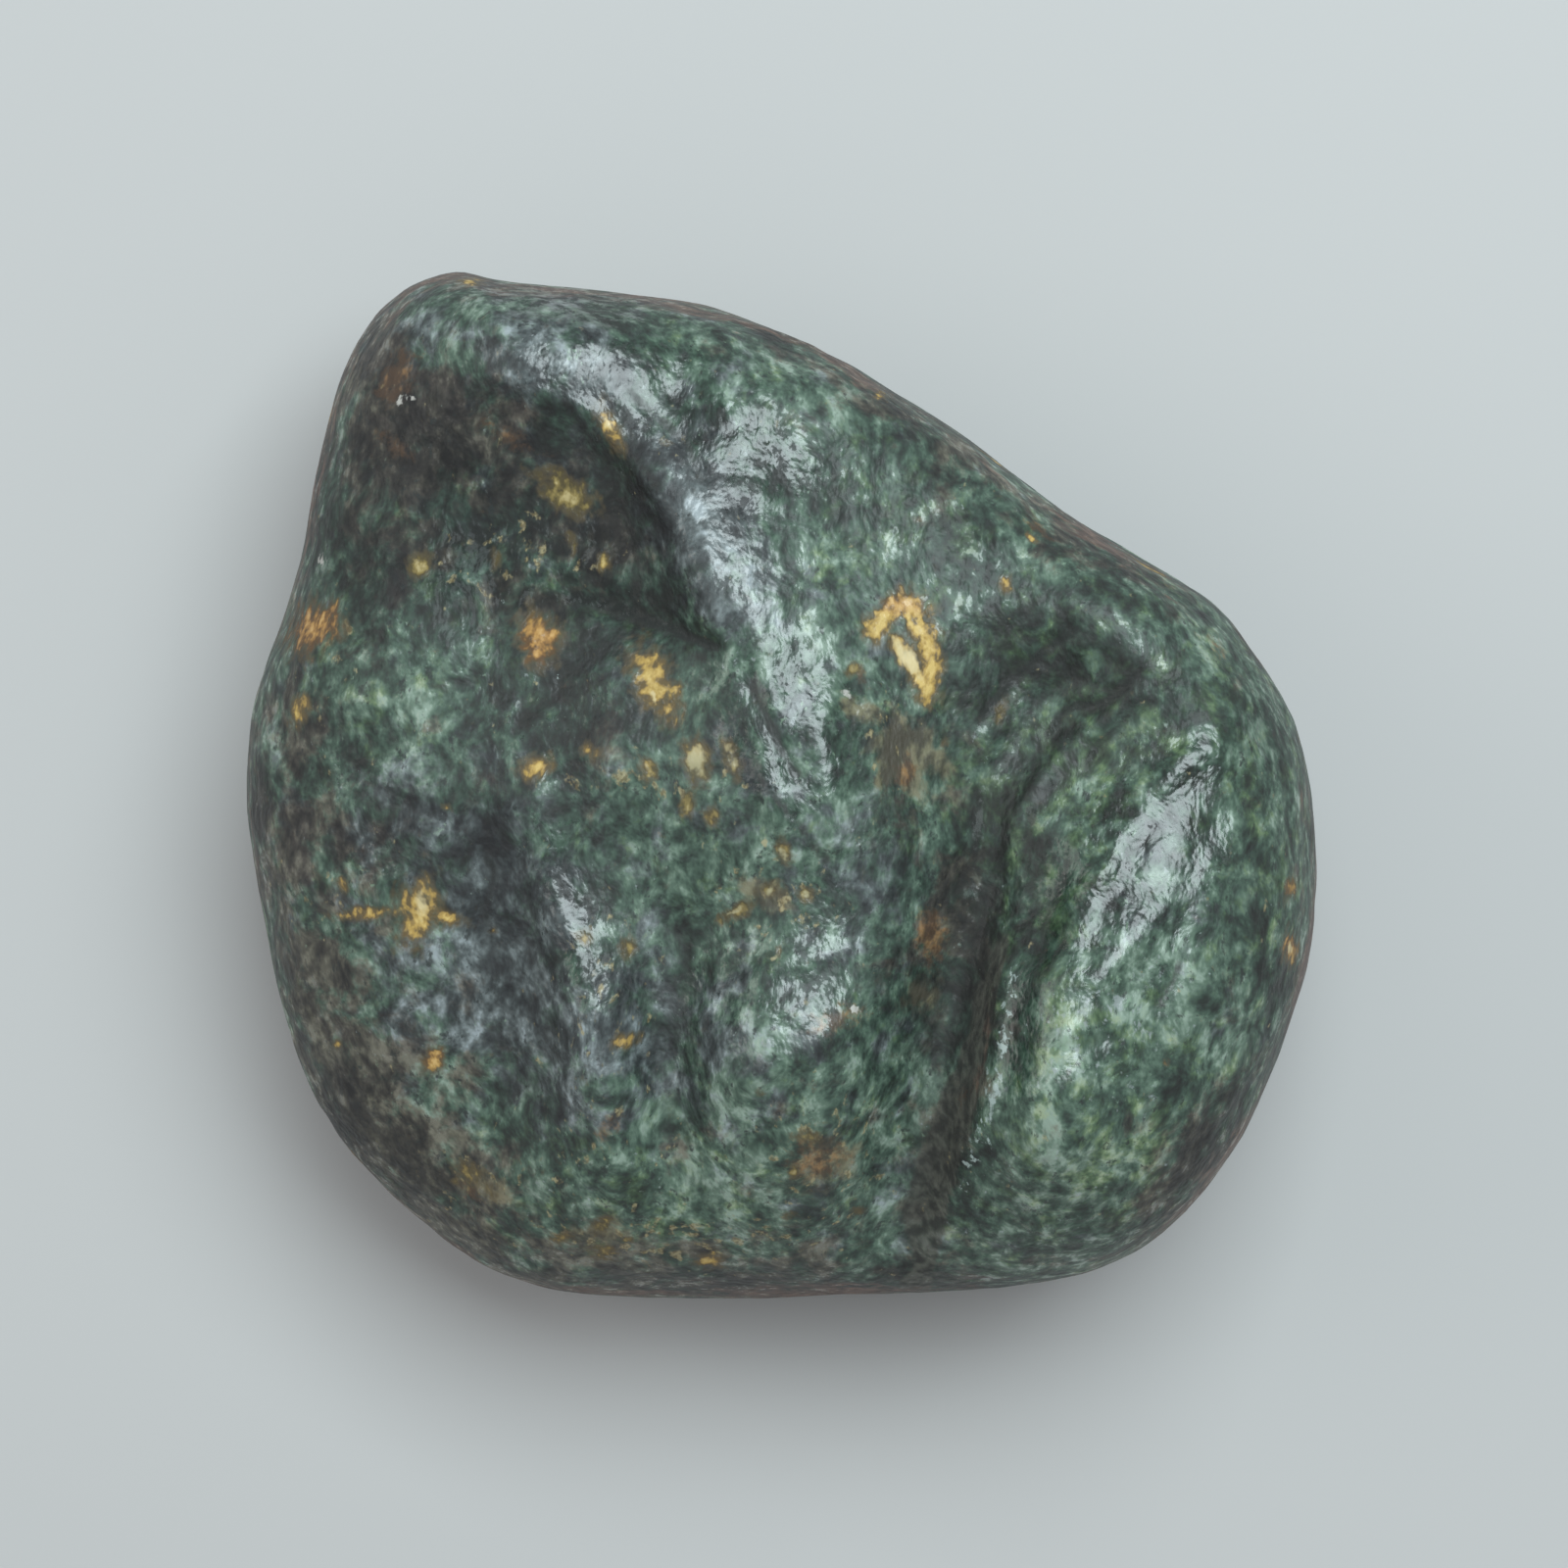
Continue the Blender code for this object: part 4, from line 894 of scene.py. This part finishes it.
    # More pale dashes where the sheen is painted.
    dash = t.math('ADD', dash, t.math('MULTIPLY', t.attr("pale_and_painted_sheen"), 0.11))
    pale = t.mix(t.ramp(t.noise(shifted(1, 9, 77), 0.4, 2.0), 0.42, 0.58),
                 rgb(0.230, 0.350, 0.240), rgb(0.330, 0.370, 0.380))
    ground = t.mix(t.ramp(dash, 0.17, 0.32, 0.0, 0.62), ground, pale)
    # Dark flecks.
    flecks = part(t.noise(shifted(3, 91, 17), 0.70, 4.0, 0.65), 1.0)
    ground = t.mix(t.ramp(flecks, 0.07, 0.19, 0.0, 0.80), ground, rgb(0.010, 0.016, 0.015))

    # The furrow's brown earth, and beside it a paler chipped lip that also paints the highlight along the groove's
    # edge.
    earth = t.mix(t.ramp(fine, 0.35, 0.65), rgb(0.022, 0.022, 0.018), rgb(0.088, 0.088, 0.070))
    ground = t.mix(t.ramp(t.math('ADD', t.attr("trench"), part(mid, 1.8)), 0.25, 0.80, 0.0, 0.85),
                   ground, earth)
    lip_chips_and_highlight = t.math('ADD', t.attr("lip_and_highlight"), part(t.noise(shifted(21, 5, 9), 0.75, 4.0, 0.65), 4.0))
    ground = t.mix(t.ramp(lip_chips_and_highlight, 0.85, 1.25, 0.0, 0.85), ground, rgb(0.36, 0.44, 0.42))
    # Smooth olive stain, then brown iron stain.
    olive = t.math('ADD', t.attr("olive"), part(t.noise(warped, 0.30, 3.0, 0.55), 2.2))
    ground = t.mix(t.ramp(olive, 0.0, 0.55, 0.0, 0.80), ground,
                   t.mix(t.ramp(level, 0.30, 0.75), rgb(0.060, 0.052, 0.032), rgb(0.190, 0.165, 0.095)))
    rag = t.math('SUBTRACT', t.noise(warped, 0.55, 4.0, 0.65), 0.5)
    brown = t.math('ADD', t.attr("brown"), t.math('MULTIPLY', rag, 1.7))
    brown = t.ramp(brown, 0.22, 0.75)
    stain = t.mix(t.ramp(level, 0.35, 0.75), rgb(0.070, 0.036, 0.016), rgb(0.270, 0.140, 0.048))
    ground = t.mix(t.math('MULTIPLY', brown, 0.80), ground, stain)

    # Rind on the flanks.
    rind = t.math('ADD', t.attr("rind"), t.math('MULTIPLY', rag, 1.2))
    rind = t.ramp(rind, 0.22, 0.85)
    skin = t.mix(t.ramp(fine, 0.35, 0.65), rgb(0.040, 0.030, 0.022), rgb(0.130, 0.094, 0.066))
    ground = t.mix(t.math('MULTIPLY', rind, 0.55), ground, skin)

    red = t.mix(t.ramp(fine, 0.35, 0.65), rgb(0.080, 0.038, 0.026), rgb(0.200, 0.102, 0.068))
    ring = t.ramp(t.math('ADD', t.attr("ring"), t.math('MULTIPLY', rag, 1.4)), 0.30, 1.00, 0.0, 0.66)
    ground = t.mix(ring, ground, red)

    # Small ochre freckles in some places.
    freckle = part(t.noise(shifted(13, 55, 71), 0.62, 3.0, 0.55), 1.0)
    freckle = t.math('ADD', freckle, t.math('MULTIPLY', t.math('SUBTRACT', t.attr("freckled"), 1.0), 0.16))
    ground = t.mix(t.ramp(freckle, 0.03, 0.15, 0.0, 0.72), ground,
                   t.mix(t.ramp(grain, 0.4, 0.6), rgb(0.180, 0.135, 0.055), rgb(0.380, 0.320, 0.170)))

    # Ochre spots: a rusty halo, an amber body and a pale heart, all ragged.
    tear = t.math('ADD', part(t.noise(flow, 0.85, 2.0, 0.5), 0.75),
                  part(t.noise(shifted(19, 2, 66), 0.36, 2.0, 0.5), 0.60))
    ochre = t.math('ADD', t.attr("ochre"), t.math('MULTIPLY', tear, 2.3))
    ground = t.mix(t.ramp(ochre, -0.60, 0.08, 0.0, 0.62), ground, rgb(0.085, 0.062, 0.026))
    core = t.ramp(ochre, -0.10, 0.36)
    amber = t.math('ADD', part(t.noise(shifted(5, 8, 2), 0.95, 2.5, 0.55), 2.2),
                   t.math('MULTIPLY', t.math('SUBTRACT', ochre, 0.22), 1.0))
    yellow = t.stops(amber, [(0.0, (0.130, 0.088, 0.032)), (0.16, (0.250, 0.165, 0.052)),
                             (0.42, (0.440, 0.285, 0.070)), (0.85, (0.640, 0.460, 0.150))])
    mustard = t.stops(amber, [(0.0, (0.080, 0.062, 0.024)), (0.25, (0.150, 0.114, 0.038)),
                              (0.55, (0.250, 0.190, 0.064)), (0.95, (0.430, 0.350, 0.165))])
    rusty = t.stops(amber, [(0.0, (0.110, 0.056, 0.020)), (0.25, (0.240, 0.125, 0.038)),
                            (0.55, (0.430, 0.230, 0.064)), (0.95, (0.600, 0.370, 0.140))])
    aged = t.math('ADD', t.attr("aged"), part(mid, 0.6))
    yellow = t.mix(t.ramp(aged, 0.05, 0.60), yellow, mustard)
    yellow = t.mix(t.ramp(aged, -0.05, -0.55), yellow, rusty)
    ground = t.mix(t.math('MULTIPLY', core, 0.92), ground, yellow)
    inside = t.ramp(t.math('ADD', t.attr("pale_in"), t.math('MULTIPLY', tear, 2.0)), 0.00, 0.60, 0.0, 0.85)
    cream = t.mix(t.ramp(aged, 0.10, 0.60), rgb(0.620, 0.520, 0.285), rgb(0.370, 0.340, 0.200))
    ground = t.mix(inside, ground, cream)
    crumb = part(t.noise(shifted(61, 4, 8), 1.3, 2.0, 0.5), 3.2)
    white = t.ramp(t.math('ADD', t.attr("white"), crumb), 0.10, 0.75)
    ground = t.mix(t.math('MULTIPLY', white, 0.85), ground, rgb(0.500, 0.490, 0.450))

    # Painted shade in the nicks and hollows: near-black mixed into the ground where the surface is sunk.
    hollow_shade = t.math('ADD', t.ramp(nick, 0.15, 0.9), t.ramp(hollow, 0.3, 1.0), clamp=True)
    ground = t.mix(t.math('MULTIPLY', hollow_shade, 0.28), ground, rgb(0.014, 0.014, 0.012))
    # Painted shade: near-black lines along the furrows, which are also rougher.
    furrow_shade = t.ramp(t.math('ADD', t.attr("furrow_shade"), part(fine, 1.6)), 0.30, 0.80, 0.0, 0.85)
    ground = t.mix(furrow_shade, ground, rgb(0.010, 0.012, 0.011))

    # Fine relief: soft undulations and short fibres.
    ripple = t.noise(shifted(4, 4, 40), 0.70, 1.5, 0.5)
    pits = t.noise(shifted(8, 4, 90), 1.25, 1.5, 0.5)
    height = t.math('ADD', t.math('MULTIPLY', ripple, 0.27), t.math('MULTIPLY', mid, 0.42))
    height = t.math('SUBTRACT', height, t.math('MULTIPLY', core, 0.06))
    height = t.math('MULTIPLY', t.math('SUBTRACT', height, 0.40),
                    t.math('SUBTRACT', 1.0, t.math('MULTIPLY', t.attr("sleek"), 0.60)))
    height = t.math('ADD', height, t.math('MULTIPLY', pits, 0.105))
    height = t.math('ADD', height, t.math('MULTIPLY', grain, 0.022))
    bump = t.new("ShaderNodeBump")
    bump.inputs["Strength"].default_value = 1.0
    bump.inputs["Distance"].default_value = 0.001
    t.put(bump.inputs["Height"], height)

    # Polished and dull places with ragged borders.
    speck = t.noise(shifted(44, 2, 6), 1.9, 2.0, 0.6)
    gloss = t.math('ADD', t.attr("polish"), part(mid, 2.0))
    gloss = t.math('ADD', gloss, part(fine, 2.4))
    gloss = t.math('ADD', gloss, part(speck, 1.6))
    gloss = t.ramp(gloss, 0.36, 0.56)
    rough = t.math('SUBTRACT', t.ramp(ripple, 0.3, 0.7, 0.60, 0.70), t.math('MULTIPLY', gloss, 0.36))
    rough = t.math('ADD', rough, t.math('MULTIPLY', core, 0.18))
    rough = t.math('ADD', rough, t.math('MULTIPLY', t.attr("dull"), 0.24))
    rough = t.math('ADD', rough, t.math('MULTIPLY', furrow_shade, 0.25), clamp=True)

    t.put(bsdf.inputs["Base Color"], ground)
    t.put(bsdf.inputs["Roughness"], rough)
    t.put(bsdf.inputs["Normal"], bump.outputs[0])
    bsdf.inputs["IOR"].default_value = 1.62
    bsdf.inputs["Specular IOR Level"].default_value = 0.5
    bsdf.inputs["Coat Weight"].default_value = 0.20
    bsdf.inputs["Coat Roughness"].default_value = 0.20
    bsdf.inputs["Coat IOR"].default_value = 1.4
    t.put(bsdf.inputs["Coat Normal"], bump.outputs[0])
    return mat


# ------------------------------------------------------------- studio
def floor():
    mesh = bpy.data.meshes.new("floor")
    s = 3.0
    mesh.from_pydata([(-s, -s, 0), (s, -s, 0), (s, s, 0), (-s, s, 0)], [], [(0, 1, 2, 3)])
    ob = bpy.data.objects.new("floor", mesh)
    bpy.context.scene.collection.objects.link(ob)
    mat = bpy.data.materials.new("floor_paper")
    mat.use_nodes = True
    b = mat.node_tree.nodes["Principled BSDF"]
    b.inputs["Base Color"].default_value = (0.52, 0.52, 0.515, 1.0)
    b.inputs["Roughness"].default_value = 0.85
    mesh.materials.append(mat)
    return ob


def lamp(name, where, target, size, power, colour=(1, 1, 1)):
    data = bpy.data.lights.new(name, 'AREA')
    data.shape = 'RECTANGLE'
    data.size, data.size_y = size
    data.energy = power
    data.color = colour
    ob = bpy.data.objects.new(name, data)
    ob.location = where
    ob.rotation_euler = (Vector(where) - Vector(target)).to_track_quat('Z', 'Y').to_euler()
    ob.visible_camera = False
    bpy.context.scene.collection.objects.link(ob)
    return ob


def studio():
    lamp("key_softbox", (0.185, 0.345, 0.92), (0.0, 0.0, 0.06), (0.66, 0.54), 8.8, (0.85, 0.97, 1.0))
    lamp("side_fill", (-0.9, 0.2, 0.7), (0.0, 0.0, 0.05), (0.6, 0.6), 1.8, (1.0, 0.96, 0.92))
    world = bpy.data.worlds.new("studio")
    world.use_nodes = True
    bg = world.node_tree.nodes["Background"]
    bg.inputs["Color"].default_value = (0.95, 0.97, 1.0, 1.0)
    bg.inputs["Strength"].default_value = 0.42
    bpy.context.scene.world = world


def camera():
    data = bpy.data.cameras.new("camera")
    data.sensor_width = 36.0
    data.sensor_fit = 'HORIZONTAL'
    reach = VIEW_HEIGHT - GIRTH_Z
    data.lens = 36.0 * reach / (1600 * GRID)
    data.clip_start = 0.01
    ob = bpy.data.objects.new("camera", data)
    ob.location = ((800 - U0) * GRID * MM + SHIFT_X * MM,
                   (V0 - 800) * GRID * MM + SHIFT_Y * MM, VIEW_HEIGHT * MM)
    ob.rotation_euler = (0, 0, 0)
    bpy.context.scene.collection.objects.link(ob)
    bpy.context.scene.camera = ob


stone_ob = build_stone()
stone_ob.data.materials.append(jade_material())
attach(stone_ob, "root")
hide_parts("jade_boulder")
floor()
studio()
camera()
bpy.context.scene.view_settings.view_transform = 'Standard'
